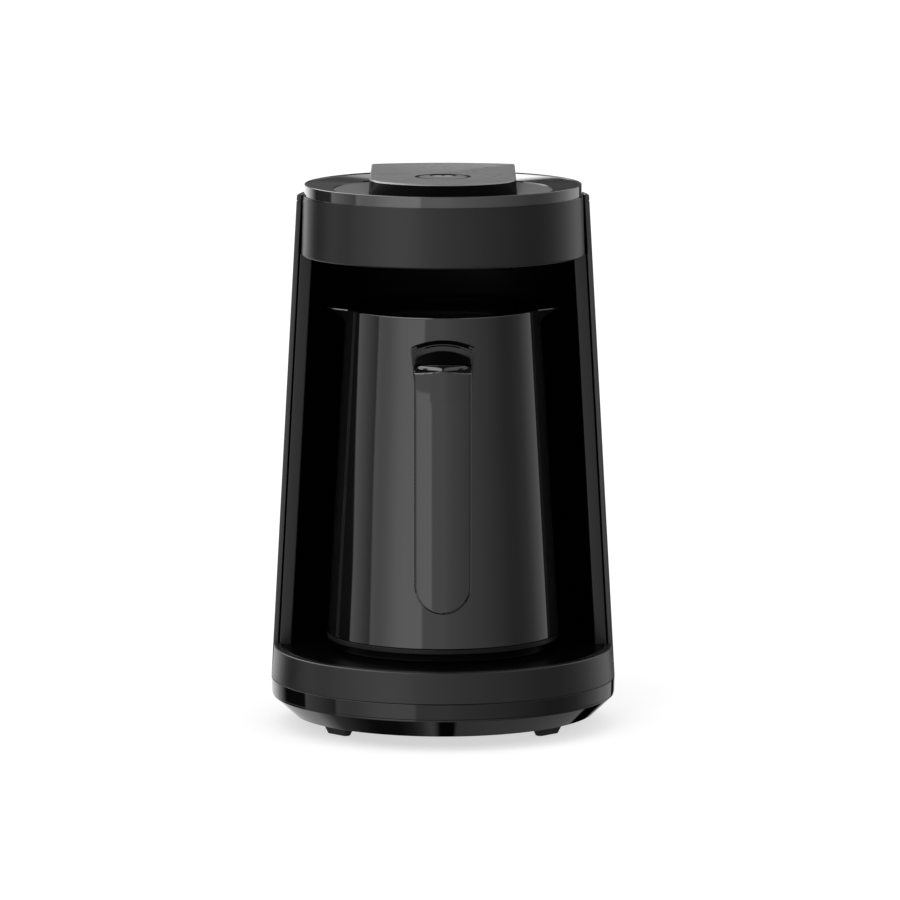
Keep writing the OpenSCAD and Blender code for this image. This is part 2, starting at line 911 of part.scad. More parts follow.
module base_screws() {
  color("#9a9ca0") around(base_boss_ring, base_boss_at)
    screw_up(base_seat_z, base_screw_l);
}

module clamp_screws() {
  color("#9a9ca0") for (sx = [-1, 1]) translate([sx * clamp_screw_x, clamp_y, 0])
    screw_up(clamp_top_z - clamp_t, clamp_t + 5);
}

module board_screws() {
  color("#9a9ca0") {
    translate([0, power_y, 0]) corners(power_post_x, power_post_y)
      screw_down(board_top, board_t + 4);
    translate([0, -button_y, 0]) corners(control_post_x, control_post_y)
      screw_up(control_z, board_t + 2.4);
  }
}

module head_screws() {
  color("#2c2d2f") around(head_boss_ring, head_boss_at)
    screw_up(head_seat_z, head_pad_z - head_seat_z + pilot_depth - 3);
}

module pod_screws() {
  color("#9a9ca0") pod_screw_places() screw_up(plate_z, plate_t + 2.4);
}

module sensor_screws() {
  color("#9a9ca0") corners(sensor_w / 2 - 3, sensor_w / 2 - 3)
    screw_down(sensor_z + board_t, board_t + 3);
}

// ----------------------------------------------------------------- button

module button_cap() {
  color("#2d2e30") translate([0, -button_y, 0]) difference() {
    union() {
      upright(button_r, button_under_z, button_top_z);
      upright(button_r + button_lip, button_lip_z, button_lip_z + button_lip);
      upright(stem_r, plunger_top_z, button_top_z - icon_t - 0.5);
    }
    upright(icon_r + snug, button_top_z - icon_t, button_top_z + past);
  }
}

module button_icon() {
  color("#c8c9cc") translate([0, -button_y, 0])
    upright(icon_r, button_top_z - icon_t, button_top_z);
}

module switch_plunger() {
  color("#101010") translate([0, -button_y, 0])
    upright(plunger_r, switch_top_z - plunger_in, plunger_top_z);
}

// -------------------------------------------------------------------- jug

// A wedge for one pouring lip: wide at the jug, narrow at the tip
module lip_wedge(inset, rise) {
  tip_x = lip_reach - lip_tip / 2 - inset * 1.3;
  root_x = rim_in_r - 2;
  low_x = jug_out(jug_top_z - lip_depth) - 0.6 - inset;
  top = jug_top_z + rise;
  hull() {
    for (s = [-1, 1]) {
      translate([root_x, s * (lip_half_w - inset), top - 1])
        cylinder(r = 0.4, h = 1, $fn = hull_fn / 2);
      translate([root_x, s * (2 - inset / 2), jug_top_z - lip_depth + inset])
        cylinder(r = 0.4, h = 1, $fn = hull_fn / 2);
    }
    translate([tip_x, 0, top - 1])
      cylinder(r = lip_tip / 2, h = 1, $fn = hull_fn / 2);
    translate([low_x, 0, jug_top_z - lip_depth + inset])
      cylinder(r = 1, h = 1, $fn = hull_fn / 2);
  }
}

module jug_shell() {
  color("#46474a") difference() {
    union() {
      frustum(jug_out(shell_foot_z), jug_rim_r, shell_foot_z, jug_top_z);
      for (turn = [0, 180]) rotate([0, 0, turn]) lip_wedge(0, 0);
    }
    for (turn = [0, 180]) rotate([0, 0, turn]) lip_wedge(lip_wall, past);
    frustum(jug_in(shell_foot_z - past), jug_in(rim_z),
            shell_foot_z - past, rim_z);
    upright(rim_in_r, rim_z - past, jug_top_z + past);
    block(channel_w, jug_foot_r + past, shell_foot_z - past, channel_top_z,
          0, (jug_foot_r + past) / 2);
    for (z = handle_screw_z) translate([0, 0, z]) rotate([90, 0, 0])
      cylinder(r = hole_r - 0.2, h = base_r);
  }
}

module jug_pot() {
  z0 = pot_z;
  z1 = pot_top_z;
  color("#2b2b2c") rotate_extrude() polygon([
    [0, z0], [pot_out(z0) - 3, z0], [pot_out(z0) - 0.9, z0 + 0.9],
    [pot_out(z0 + 3), z0 + 3], [pot_out(z1 - 1), z1 - 1],
    [pot_out(z1) + pot_lip, z1 - 1], [pot_out(z1) + pot_lip, z1],
    [pot_in(z1), z1], [pot_in(z0 + 3.5), z0 + 3.5],
    [pot_in(z0 + 3) - 0.9, z0 + pot_wall + 0.9],
    [pot_in(z0 + 3) - 3, z0 + pot_wall], [0, z0 + pot_wall]
  ]);
}

module pot_seal() {
  color("#5a5a5c") rotate_extrude() polygon([
    [pot_in(pot_top_z) + 0.1, pot_top_z], [jug_in(rim_z) - 0.3, pot_top_z],
    [jug_in(rim_z) - 0.3, rim_z], [pot_in(pot_top_z) + 0.1, rim_z]
  ]);
}

module jug_base() {
  z1 = jug_z + jug_ring_h;
  spigot_r = jug_in(z1 + spigot_h) - snug;
  color("#0b0b0c") difference() {
    union() {
      rotate_extrude() polygon([
        [0, jug_z], [jug_foot_r - 0.6, jug_z], [jug_foot_r, jug_z + 0.6],
        [jug_out(z1), z1], [spigot_r, z1], [spigot_r, z1 + spigot_h],
        [spigot_r - spigot_wall, z1 + spigot_h],
        [spigot_r - spigot_wall, jug_z + base_floor_t],
        [0, jug_z + base_floor_t]
      ]);
      around(jug_boss_ring, jug_boss_at)
        upright(boss_r, jug_z + base_floor_t - snug, spreader_z);
    }
    block(channel_w, jug_foot_r + channel_front + past, jug_z - past,
          channel_top_z, 0, (jug_foot_r + past - channel_front) / 2);
    around(jug_boss_ring, jug_boss_at) {
      upright(hole_r, jug_z - past, spreader_z + past);
      upright(screw_head_r + 0.3, jug_z - past, jug_seat_z);
    }
  }
}

// Roof of the connector channel, open below and to the back
module jug_socket() {
  z0 = jug_z + base_floor_t;
  half = channel_w / 2 + socket_wall;
  inner_r = jug_in(shell_foot_z + spigot_h) - spigot_wall - 2 * snug;
  back_y = sqrt(inner_r * inner_r - half * half);
  length = back_y + channel_front + socket_wall;
  mid_y = (back_y - channel_front - socket_wall) / 2;
  color("#1d1e20") difference() {
    block(2 * half, length, z0, socket_top_z, 0, mid_y);
    block(channel_w, length, z0 - past, channel_top_z, 0, mid_y + socket_wall);
    for (i = [-1, 0, 1])
      block(blade_t + 2 * snug, 2 * blade_half + 2 * snug,
            channel_top_z - past, socket_top_z + past, i * contact_pitch);
  }
}

module jug_contacts() {
  color("#c9a14a") for (i = [-1, 0, 1])
    block(blade_t, 2 * blade_half, tongue_top_z + free,
          socket_top_z + 3, i * contact_pitch);
}

module heat_spreader() {
  color("#a9abad") difference() {
    upright(spreader_r, spreader_z, pot_z);
    around(jug_boss_ring, jug_boss_at)
      upright(pilot_r, spreader_z - past, spreader_z + spreader_t - 0.6);
  }
}

module heating_element() {
  gap_angle = 40;
  color("#77797c") translate([0, 0, spreader_z - element_r])
    rotate([0, 0, 90 + gap_angle / 2]) {
      rotate_extrude(angle = 360 - gap_angle)
        translate([element_ring, 0]) circle(r = element_r, $fn = 48);
      for (a = [0, -gap_angle]) rotate([0, 0, a]) translate([element_ring, 0, 0])
        rotate([0, 0, 0]) upright(1.4, -element_r - 7, 0);
    }
}

module thermal_cutout() {
  color("#d9d3c4") {
    upright(cutout_r, spreader_z - cutout_h, spreader_z);
    block(12, 4, spreader_z - cutout_h - 2, spreader_z - cutout_h);
  }
}

module jug_wires() {
  color("#d8d8d8") for (i = [-1, 0, 1])
    translate([i * contact_pitch, 0, 0])
      upright(wire_r, socket_top_z + 3,
              spreader_z - cutout_h - 2);
}

module jug_screws() {
  color("#9a9ca0") around(jug_boss_ring, jug_boss_at)
    screw_up(jug_seat_z, spreader_z + spreader_t - 1 - jug_seat_z);
}

// ----------------------------------------------------------------- handle

// Arched outline: flat foot, upright sides, a low arch on top
module arch(half, low, high, rise) {
  arch_r = (half * half + rise * rise) / (2 * rise);
  intersection() {
    translate([-half, low]) square([2 * half, high - low]);
    translate([0, high - arch_r]) circle(r = arch_r);
  }
}

// A plate of the given outline, standing across the front at distance y
module standing(y, depth) {
  translate([0, -y, 0]) rotate([90, 0, 0]) linear_extrude(depth) children();
}

module handle_collar() {
  back = jug_out(collar_low_z) - 6;
  color("#3a3b3d") difference() {
    standing(back, collar_y - back)
      arch(collar_half, collar_low_z, handle_top_z, arch_rise);
    frustum(jug_out(jug_z) + 0.05, jug_rim_r + 0.05, jug_z, jug_top_z);
    for (z = handle_screw_z) translate([0, 0, z]) rotate([90, 0, 0])
      cylinder(r = pilot_r, h = collar_y - 1);
  }
}

module handle_grip() {
  half = handle_w / 2;
  thin = 0.4;
  neck_top = handle_top_z - 2.5;
  low_z = collar_low_z + 3;
  color("#46474a") {
    standing(collar_y, groove_d)
      arch(half - groove_in, low_z + groove_in, neck_top - groove_in, arch_rise - 1);
    hull() {
      standing(collar_y + groove_d - thin, thin + 1)
        arch(half, low_z, neck_top, arch_rise);
      standing(grip_back + 2, 1)
        arch(half, grip_top_z - arm_drop, grip_top_z + 2.6, 2);
    }
    hull() {
      standing(grip_back, handle_d - grip_edge) grip_outline(0, grip_top_z);
      standing(handle_reach - thin, thin) grip_outline(grip_edge, grip_top_z);
    }
  }
}

// Front outline of the grip: square shoulders and a half-round lower end
module grip_outline(inset, top) {
  half = handle_w / 2 - inset;
  low = handle_end_z + handle_w / 2;
  translate([0, low]) circle(r = half, $fn = 2 * hull_fn);
  translate([-half, low]) square([2 * half, top - inset - low]);
}

module handle_cover() {
  color("#2b2c2e") standing(grip_back - cover_t, cover_t)
    grip_outline(cover_inset, grip_top_z - arm_drop - 2);
}

module handle_screws() {
  color("#9a9ca0") for (z = handle_screw_z) {
    seat = jug_in(z) - 0.3;
    translate([0, 0, z]) rotate([90, 0, 0]) {
      upright(2.6, seat - 0.6, seat);
      upright(shank_r, seat - snug, collar_y - 1.4);
    }
  }
}

// --------------------------------------------------------------- assembly

feet();
base_skirt();
base_trim_ring();
base_band();
base_deck();
rear_shell();
cavity_liner();
steam_guard();
head_floor();
head_band();
head_trim_ring();
top_plate();
top_disc();
control_pod();
sensor_window();
sensor_board();
control_board();
tact_switch();
indicator_leds();
buzzer();
power_board();
power_relay();
supply_coil();
filter_capacitors();
terminal_block();
signal_cable();
base_wires();
connector_tongue();
connector_blades();
cord_bushing();
cord_clamp();
base_screws();
clamp_screws();
board_screws();
head_screws();
pod_screws();
sensor_screws();
button_cap();
button_icon();
switch_plunger();
jug_shell();
jug_pot();
pot_seal();
jug_base();
heat_spreader();
heating_element();
thermal_cutout();
jug_socket();
jug_contacts();
jug_wires();
jug_screws();
handle_collar();
handle_grip();
handle_cover();
handle_screws();
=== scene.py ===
"""Dresses an electric coffee maker for Turkish coffee around its fixed CAD frame.

Lengths in the sub-assemblies are millimetres in the frame of the row: +Z is up,
the open front with the jug's handle looks along -Y, and z = 0 is the worktop.
"""

from __future__ import annotations

import json
import logging
import math
from dataclasses import dataclass
from enum import Enum
from functools import cache
from typing import Callable, Iterable, Mapping, Sequence

import bmesh
import bpy
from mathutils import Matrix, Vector

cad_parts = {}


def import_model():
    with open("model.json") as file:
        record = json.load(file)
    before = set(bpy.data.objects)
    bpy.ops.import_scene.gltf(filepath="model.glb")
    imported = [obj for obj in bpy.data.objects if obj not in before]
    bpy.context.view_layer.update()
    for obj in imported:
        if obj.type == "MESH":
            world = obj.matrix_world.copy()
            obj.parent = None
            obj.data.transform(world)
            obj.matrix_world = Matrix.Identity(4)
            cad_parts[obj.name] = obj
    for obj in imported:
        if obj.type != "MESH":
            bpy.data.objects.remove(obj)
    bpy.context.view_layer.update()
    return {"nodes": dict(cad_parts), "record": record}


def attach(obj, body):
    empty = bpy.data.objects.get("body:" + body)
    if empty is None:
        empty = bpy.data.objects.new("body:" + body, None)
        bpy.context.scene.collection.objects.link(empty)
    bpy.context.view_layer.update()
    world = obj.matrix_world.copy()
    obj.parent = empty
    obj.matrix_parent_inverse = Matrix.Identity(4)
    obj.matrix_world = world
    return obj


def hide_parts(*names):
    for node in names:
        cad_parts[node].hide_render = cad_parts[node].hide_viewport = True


LOG = logging.getLogger("coffee_maker")
MM = 0.001
CREASE = 35.0  # degrees past which an edge is drawn sharp
BUTTON_Y = -24.0  # middle of the button and of the disc about it
INLET_Z = 28.05  # height of the mains cord's inlet

Flat = tuple[float, float]
Point = tuple[float, float, float]
Colour = tuple[float, float, float]
Corner = tuple[float, ...]  # a flat point, with the corner's radius where it is round


class Body(str, Enum):
    """The rigid bodies of the frame."""

    HOUSING = "housing"
    BUTTON = "button"
    JUG = "jug"


class Relief(Enum):
    """How the fine relief of a finish runs."""

    GRAIN = "grain"
    TURNED = "turned"
    UPRIGHT = "upright"


# -------------------------------------------------------------------- wiring


class Wiring:
    """A node tree that is wired step by step."""

    def __init__(self, tree: bpy.types.NodeTree) -> None:
        """Takes the tree that the nodes go into."""
        self.tree = tree

    def feed(self, node: bpy.types.Node, feeds: Mapping[str | int, object]) -> None:
        """Wires a node's inputs.

        Args:
            node: The node.
            feeds: For each input's name or number a socket or a plain value.
        """
        for key, source in feeds.items():
            if isinstance(source, bpy.types.NodeSocket):
                self.tree.links.new(source, node.inputs[key])
            else:
                node.inputs[key].default_value = source

    def node(
        self, kind: str, feeds: Mapping[str | int, object] | None = None, **fields: object
    ) -> bpy.types.Node:
        """Adds a node.

        Args:
            kind: Its type.
            feeds: What its inputs take, as in feed.
            fields: Its settings.

        Returns:
            The node.
        """
        made = self.tree.nodes.new(kind)
        for key, value in fields.items():
            setattr(made, key, value)
        self.feed(made, feeds or {})
        return made

    def sums(self, work: str, *values: object) -> bpy.types.NodeSocket:
        """Adds a Math node.

        Args:
            work: Its operation.
            values: Its inputs, sockets or numbers.

        Returns:
            The result's socket.
        """
        made = self.node("ShaderNodeMath", dict(enumerate(values)), operation=work)
        return made.outputs["Value"]


class Board(Wiring):
    """The node tree of a material or of the world."""

    def span(
        self, source: object, low: float, high: float, to_low: object, to_high: object
    ) -> bpy.types.NodeSocket:
        """Maps one span of values onto another, held at its ends.

        Args:
            source: The value.
            low: Start of the span.
            high: End of the span.
            to_low: Result at the start.
            to_high: Result at the end.

        Returns:
            The result's socket.
        """
        made = self.node("ShaderNodeMapRange", {
            "Value": source, "From Min": low, "From Max": high,
            "To Min": to_low, "To Max": to_high,
        })
        return made.outputs["Result"]

    def ramp(
        self, source: bpy.types.NodeSocket, low: float, high: float, stops: Sequence[Flat]
    ) -> bpy.types.NodeSocket:
        """Adds a curve of grey levels over a span of values.

        Args:
            source: The value.
            low: Start of the span.
            high: End of the span.
            stops: Pairs of value and level, the level 1 at most.

        Returns:
            The level's socket.
        """
        made = self.node("ShaderNodeValToRGB", {"Fac": self.span(source, low, high, 0.0, 1.0)})
        points = made.color_ramp.elements
        points.remove(points[-1])
        for i, (at, level) in enumerate(stops):
            place = (at - low) / (high - low)
            point = points[0] if i == 0 else points.new(place)
            point.position, point.color = place, (level, level, level, 1.0)
        return made.outputs["Color"]


# ------------------------------------------------------------------ finishes


@dataclass(frozen=True)
class Finish:
    """A moulded, painted or metal finish, made as a node material.

    Args:
        name: Name of the material.
        colour: Linear base colour.
        rough: Roughness of the surface.
        gloss: Specular level, 0.5 for common plastic.
        metal: Metallic share.
        coat: Weight of a clear coat.
        grain: Width of one grain in millimetres.
        depth: Height of the grain in millimetres.
        mottle: Share by which the colour varies over the piece.
        wear: How much lighter the rubbed edges are.
        relief: Direction of the grain.
        clear: Share of light that passes through.
        dish: Slope by which a spun top falls away from the button's middle.
        drift: Share of the grain in how the roughness varies.
    """

    name: str
    colour: Colour
    rough: float
    gloss: float = 0.5
    metal: float = 0.0
    coat: float = 0.0
    grain: float = 0.35
    depth: float = 0.002
    mottle: float = 0.08
    wear: float = 0.0
    relief: Relief = Relief.GRAIN
    clear: float = 0.0
    dish: float = 0.0
    drift: float = 0.35

    def material(self) -> bpy.types.Material:
        """Makes the material at its first use.

        Returns:
            The material, the same one each time.
        """
        found = bpy.data.materials.get(self.name)
        if found is not None:
            return found
        material = bpy.data.materials.new(self.name)
        material.use_nodes = True
        board = Board(material.node_tree)
        fine = self._noise(board, self._stretch(), 3.0)
        broad = self._noise(board, (28.0, 28.0, 28.0), 2.0)
        varied = board.sums("MULTIPLY_ADD", fine, self.drift, broad)
        least, most = self.rough * 0.9, min(1.0, self.rough * 1.12)
        bump = board.node(
            "ShaderNodeBump", {"Strength": 0.6, "Distance": self.depth * MM, "Height": fine}
        )
        if self.dish:
            board.feed(bump, {"Normal": self._dished(board)})
        board.feed(material.node_tree.nodes["Principled BSDF"], {
            "Base Color": self._tint(board, broad),
            "Roughness": board.span(varied, self.drift, 1.0, least, most),
            "Normal": bump.outputs["Normal"],
            "Metallic": self.metal,
            "Specular IOR Level": self.gloss,
            "Coat Weight": self.coat,
            "Coat Roughness": 0.05,
            "Transmission Weight": self.clear,
        })
        return material

    def _dished(self, board: Board) -> bpy.types.NodeSocket:
        """Wires the direction of a shallow cone about the button's middle.

        Args:
            board: The material's board.

        Returns:
            The direction's socket.
        """
        last: bpy.types.NodeSocket = board.node("ShaderNodeTexCoord").outputs["Object"]
        for work, other in (
            ("MULTIPLY", (1, 1, 0)), ("ADD", (0, -BUTTON_Y * MM, 0)), ("NORMALIZE", None),
            ("MULTIPLY", (self.dish, self.dish, 0)), ("ADD", (0, 0, 1)), ("NORMALIZE", None),
        ):
            feeds = {0: last} if other is None else {0: last, 1: other}
            step = board.node("ShaderNodeVectorMath", feeds, operation=work)
            last = step.outputs["Vector"]
        return last

    def _stretch(self) -> Point:
        """Turns the grain's width and direction into a scale of noise.

        Returns:
            The scale along X, Y and Z.
        """
        wide = 1.0 / (self.grain * MM)
        if self.relief is Relief.UPRIGHT:
            return (wide, wide, wide * 0.02)
        if self.relief is Relief.TURNED:
            return (wide * 0.05, wide * 0.05, wide)
        return (wide, wide, wide)

    @staticmethod
    def _noise(board: Board, scale: Point, detail: float) -> bpy.types.NodeSocket:
        """Adds a noise on Object coordinates.

        Args:
            board: The material's board.
            scale: Scale along the three axes.
            detail: Detail of the noise.

        Returns:
            The noise's socket.
        """
        place = board.node("ShaderNodeTexCoord").outputs["Object"]
        mapping = board.node("ShaderNodeMapping", {"Vector": place, "Scale": scale})
        noise = board.node("ShaderNodeTexNoise", {
            "Vector": mapping.outputs["Vector"], "Scale": 1.0, "Detail": detail,
        })
        return noise.outputs["Fac"]

    def _tint(self, board: Board, broad: bpy.types.NodeSocket) -> bpy.types.NodeSocket:
        """Makes a slightly varied colour, lighter where edges are rubbed.

        Args:
            board: The material's board.
            broad: The broad noise.

        Returns:
            The colour's socket.
        """

        def mixed(share: object, first: object, second: object) -> bpy.types.NodeSocket:
            """Mixes two colours by a share."""
            feeds = {"Factor": share, "A": first, "B": second}
            return board.node("ShaderNodeMix", feeds, data_type="RGBA").outputs["Result"]

        def scaled(share: float, more: float = 0.0) -> tuple[float, ...]:
            """Returns the base colour times a share, and more."""
            return (*(min(1.0, c * share + more) for c in self.colour), 1.0)

        tint = mixed(broad, scaled(1 - self.mottle), scaled(1 + self.mottle))
        if self.wear <= 0:
            return tint
        edge = board.node("ShaderNodeNewGeometry").outputs["Pointiness"]
        return mixed(board.span(edge, 0.53, 0.66, 0.0, self.wear), tint, scaled(2.2, 0.01))


def grey(value: float) -> Colour:
    """Returns a neutral linear grey."""
    return (value, value, value)


FINISHES: dict[str, Finish] = {
    "foot_rubber": Finish("moulded_rubber", grey(0.045), 0.7, 0.3, grain=0.5, depth=0.006),
    "skirt_black": Finish("black_tray_plastic", grey(0.003), 0.04, 0.5, depth=0.0004),
    "skirt_under": Finish("tray_underside", grey(0.012), 0.55, 0.35, grain=0.6, depth=0.006),
    "gloss_graphite": Finish("polished_graphite", grey(0.03), 0.05, 0.6, coat=1.0, depth=0.0006),
    "gloss_black": Finish("polished_black", grey(0.004), 0.05, 0.43, depth=0.0006),
    "satin_anthracite": Finish("anthracite_satin_lacquer", grey(0.009), 0.3, 0.45, wear=0.2),
    "deck_gloss": Finish("deck_black", grey(0.0008), 0.3, 0.03, depth=0.0008),
    "shell_anthracite": Finish("anthracite_housing_lacquer", grey(0.03), 0.33, 0.6, wear=0.1),
    # The liner's inside and the head's underside are a darker copy of the bay's black plastic than
    # its front faces: painted shade.
    "liner_black": Finish("black_bay_plastic", grey(0.001), 0.4, 0.15),
    "liner_face": Finish("black_bay_front", grey(0.008), 0.3, 0.42),
    "guard_black": Finish("black_guard_plastic", grey(0.003), 0.3, 0.3),
    "top_dark": Finish("top_ring_black", grey(0.004), 0.03, 0.35, depth=0.0002, dish=0.035),
    "top_light": Finish("top_disc_grey", grey(0.135), 0.34, 0.4),
    "pod_satin": Finish("grey_satin_pod", grey(0.19), 0.28, 0.8, wear=0.15),
    # Black pod sides, and the same black as painted shade on the wall of the button's opening.
    "pod_black": Finish("black_pod_side", grey(0.002), 0.4, 0.01),
    "mark_light": Finish("light_mark", grey(0.4), 0.3, 0.8),
    # Black print of the power mark, and painted shade on the button's border ring and side.
    "mark_black": Finish("black_mark", grey(0.001), 0.4, 0.08),
    "jug_inside": Finish("black_jug_inside", grey(0.0006), 0.45, 0.05),
    "window_red": Finish("dark_red_window", (0.05, 0.006, 0.008), 0.08, 0.5, clear=0.4),
    "board_green": Finish("green_circuit_board", (0.012, 0.11, 0.04), 0.3, 0.5, grain=0.8),
    "switch_black": Finish("black_switch_plastic", grey(0.012), 0.45),
    "lamp_lens": Finish("clear_lamp_lens", (0.7, 0.68, 0.6), 0.1, clear=0.5),
    "relay_blue": Finish("blue_relay_case", (0.02, 0.08, 0.25), 0.3),
    "coil_copper": Finish(
        "enamelled_copper_wire", (0.55, 0.27, 0.1), 0.3, metal=0.9, relief=Relief.TURNED
    ),
    "can_sleeve": Finish("capacitor_sleeve", (0.06, 0.08, 0.12), 0.25, metal=0.3),
    "terminal_green": Finish("green_terminal_plastic", (0.04, 0.26, 0.08), 0.4),
    "cable_grey": Finish("grey_flat_cable", grey(0.28), 0.5, relief=Relief.UPRIGHT),
    "wire_red": Finish("red_wire_insulation", (0.4, 0.02, 0.015), 0.4),
    "wire_white": Finish("white_glass_sleeving", grey(0.65), 0.55, grain=0.5),
    "connector_black": Finish("black_connector_plastic", grey(0.009), 0.38, 0.4),
    "contact_brass": Finish(
        "brass_contacts", (0.62, 0.42, 0.14), 0.25, metal=1.0, relief=Relief.UPRIGHT
    ),
    "bushing_rubber": Finish("soft_bushing_rubber", grey(0.014), 0.7, 0.3, depth=0.01),
    "screw_steel": Finish("zinc_steel", (0.48, 0.49, 0.5), 0.32, metal=1.0),
    "screw_black": Finish("blackened_steel", grey(0.03), 0.4, metal=0.8),
    "button_satin": Finish("grey_satin_button", grey(0.18), 0.28, 0.8),
    "icon_grey": Finish("button_disc", grey(0.175), 0.28, 0.8),
    "jug_anthracite": Finish("anthracite_jug_lacquer", grey(0.008), 0.045, 0.8, depth=0.0005),
    "pot_steel": Finish("coated_steel", grey(0.012), 0.35, metal=0.4, relief=Relief.TURNED),
    "seal_silicone": Finish("dark_silicone", grey(0.004), 0.6, 0.1),
    "jug_black": Finish("black_jug_foot_plastic", grey(0.0035), 0.4, 0.2),
    "spreader_aluminium": Finish("cast_aluminium", grey(0.55), 0.4, metal=1.0),
    "element_steel": Finish("sheathed_tube", grey(0.3), 0.35, metal=1.0),
    "cutout_ceramic": Finish("glazed_ceramic", (0.7, 0.66, 0.58), 0.25, coat=0.3),
    "collar_satin": Finish("anthracite_collar_lacquer", grey(0.01), 0.2, 0.6),
    "handle_satin": Finish("anthracite_handle_lacquer", grey(0.008), 0.05, 0.8, depth=0.0005),
    # Near-black painted shade on the handle's neck and on the collar's edge against the jug.
    "handle_inner": Finish("black_handle_plastic", grey(0.0008), 0.5, 0.02),
}


# -------------------------------------------------------------------- meshes


def linked(name: str, data: bpy.types.ID) -> bpy.types.Object:
    """Makes an object and links it to the scene.

    Args:
        name: Its name.
        data: Its mesh, lamp or camera.

    Returns:
        The object.
    """
    thing = bpy.data.objects.new(name, data)
    bpy.context.scene.collection.objects.link(thing)
    return thing


def polar(radius: float, angle: float) -> Flat:
    """Returns the flat point at a radius and an angle."""
    return (radius * math.cos(angle), radius * math.sin(angle))


def quarter(steps: int) -> list[Flat]:
    """Returns points on a quarter of the unit circle, from (1, 0) to (0, 1)."""
    return [polar(1.0, math.pi / 2 * k / steps) for k in range(steps + 1)]


def rounded(corners: Sequence[Corner], steps: int = 6) -> list[Flat]:
    """Rounds the corners of a closed flat outline with arcs.

    Args:
        corners: Its corners in order.
        steps: Faces of each arc.

    Returns:
        The points of the rounded outline.
    """
    found: list[Flat] = []
    for i, corner in enumerate(corners):
        at, radius = Vector(corner[:2]), sum(corner[2:])
        if radius <= 0:
            found.append((at.x, at.y))
            continue
        before = Vector(corners[i - 1][:2]) - at
        after = Vector(corners[(i + 1) % len(corners)][:2]) - at
        half = before.angle(after) / 2
        run = min(radius / math.tan(half), 0.49 * before.length, 0.49 * after.length)
        centre = at + (before.normalized() + after.normalized()).normalized() * (
            run / math.cos(half)
        )
        start = at + before.normalized() * run - centre
        swing = start.angle_signed(at + after.normalized() * run - centre)
        for k in range(steps + 1):
            turn = -swing * k / steps
            x = start.x * math.cos(turn) - start.y * math.sin(turn)
            y = start.x * math.sin(turn) + start.y * math.cos(turn)
            found.append((centre.x + x, centre.y + y))
    return found


def oblong(low: Flat, high: Flat, edge: float, z: float, steps: int = 6) -> list[Point]:
    """Returns a rounded oblong's plan at a height.

    Args:
        low: Its lowest corner.
        high: Its highest corner.
        edge: Radius of its corners.
        z: The height.
        steps: Faces of each corner.

    Returns:
        The closed plan.
    """
    (x0, y0), (x1, y1) = low, high
    corners = [(x, y, edge) for x, y in ((x0, y0), (x1, y0), (x1, y1), (x0, y1))]
    return [(x, y, z) for x, y in rounded(corners, steps)]


def lofted(
    name: str, rings: Sequence[Sequence[Point]], loop: bool = False, crease: float = CREASE
) -> bpy.types.Object:
    """Skins closed rings, in millimetres, that have the same count of points.

    Args:
        name: Name of the object.
        rings: The rings in order.
        loop: Whether the last ring joins the first. The two end rings are
            closed with a face where it doesn't.
        crease: Angle past which an edge is drawn sharp.

    Returns:
        The closed, smooth-shaded object, linked to the scene.
    """
    count, size = len(rings), len(rings[0])
    faces: list[Sequence[int]] = []
    for j in range(count if loop else count - 1):
        a, b = j * size, ((j + 1) % count) * size
        for i in range(size):
            k = (i + 1) % size
            faces.append([a + i, a + k, b + k, b + i])
    if not loop:
        faces += [range(size), range((count - 1) * size, count * size)]
    work = bmesh.new()
    verts = [work.verts.new(Vector(p) * MM) for ring in rings for p in ring]
    for face in faces:
        work.faces.new([verts[i] for i in face])
    bmesh.ops.remove_doubles(work, verts=work.verts, dist=2e-7)
    bmesh.ops.dissolve_degenerate(work, edges=work.edges, dist=1e-7)
    loose = [v for v in work.verts if not v.link_faces]
    bmesh.ops.delete(work, geom=loose, context="VERTS")
    bmesh.ops.recalc_face_normals(work, faces=work.faces)
    mesh = bpy.data.meshes.new(name)
    work.to_mesh(mesh)
    work.free()
    mesh.shade_smooth()
    mesh.set_sharp_from_angle(angle=math.radians(crease))
    return linked(name, mesh)


def held(outline: Sequence[Flat], gap: float = 0.15, long: float = 1.2) -> list[Flat]:
    """Adds a point near both ends of each long side, so that it is shaded straight.

    Args:
        outline: The closed outline.
        gap: Distance of the added points from the corners.
        long: Length past which a side is long.

    Returns:
        The outline with the added points.
    """
    found = []
    for i, (r, z) in enumerate(outline):
        q, h = outline[(i + 1) % len(outline)]
        found.append((r, z))
        run = math.hypot(q - r, h - z)
        if run > long and r + q > 0:
            found += [(r + (q - r) * t, z + (h - z) * t) for t in (gap / run, 1 - gap / run)]
    return found


def turned(
    name: str,
    outline: Sequence[Flat],
    steps: int,
    centre: Flat = (0.0, 0.0),
    arc: Flat | None = None,
) -> bpy.types.Object:
    """Turns a closed outline of (radius, height) about an upright axis.

    Args:
        name: Name of the object.
        outline: The outline in order.
        steps: Faces round the full turn or the arc.
        centre: Place of the axis in plan.
        arc: First and last angle in degrees where the turn isn't full.

    Returns:
        The object.
    """
    outline = held(outline)
    first, last = arc or (0.0, 360.0)
    rings = []
    for i in range(steps if arc is None else steps + 1):
        a = math.radians(first + (last - first) * i / steps)
        c, s = math.cos(a), math.sin(a)
        rings.append([(centre[0] + r * c, centre[1] + r * s, z) for r, z in outline])
    return lofted(name, rings, loop=arc is None)


def cut(thing: bpy.types.Object, *tools: bpy.types.Object) -> bpy.types.Object:
    """Cuts tools out of a piece, then removes them.

    Args:
        thing: The piece that is cut.
        tools: Closed solids to take away.

    Returns:
        The piece with its new mesh.
    """
    for tool in tools:
        step = thing.modifiers.new("cut", "BOOLEAN")
        step.operation, step.solver, step.object = "DIFFERENCE", "EXACT", tool
    bake(thing)
    for tool in tools:
        bpy.data.objects.remove(tool)
    return thing


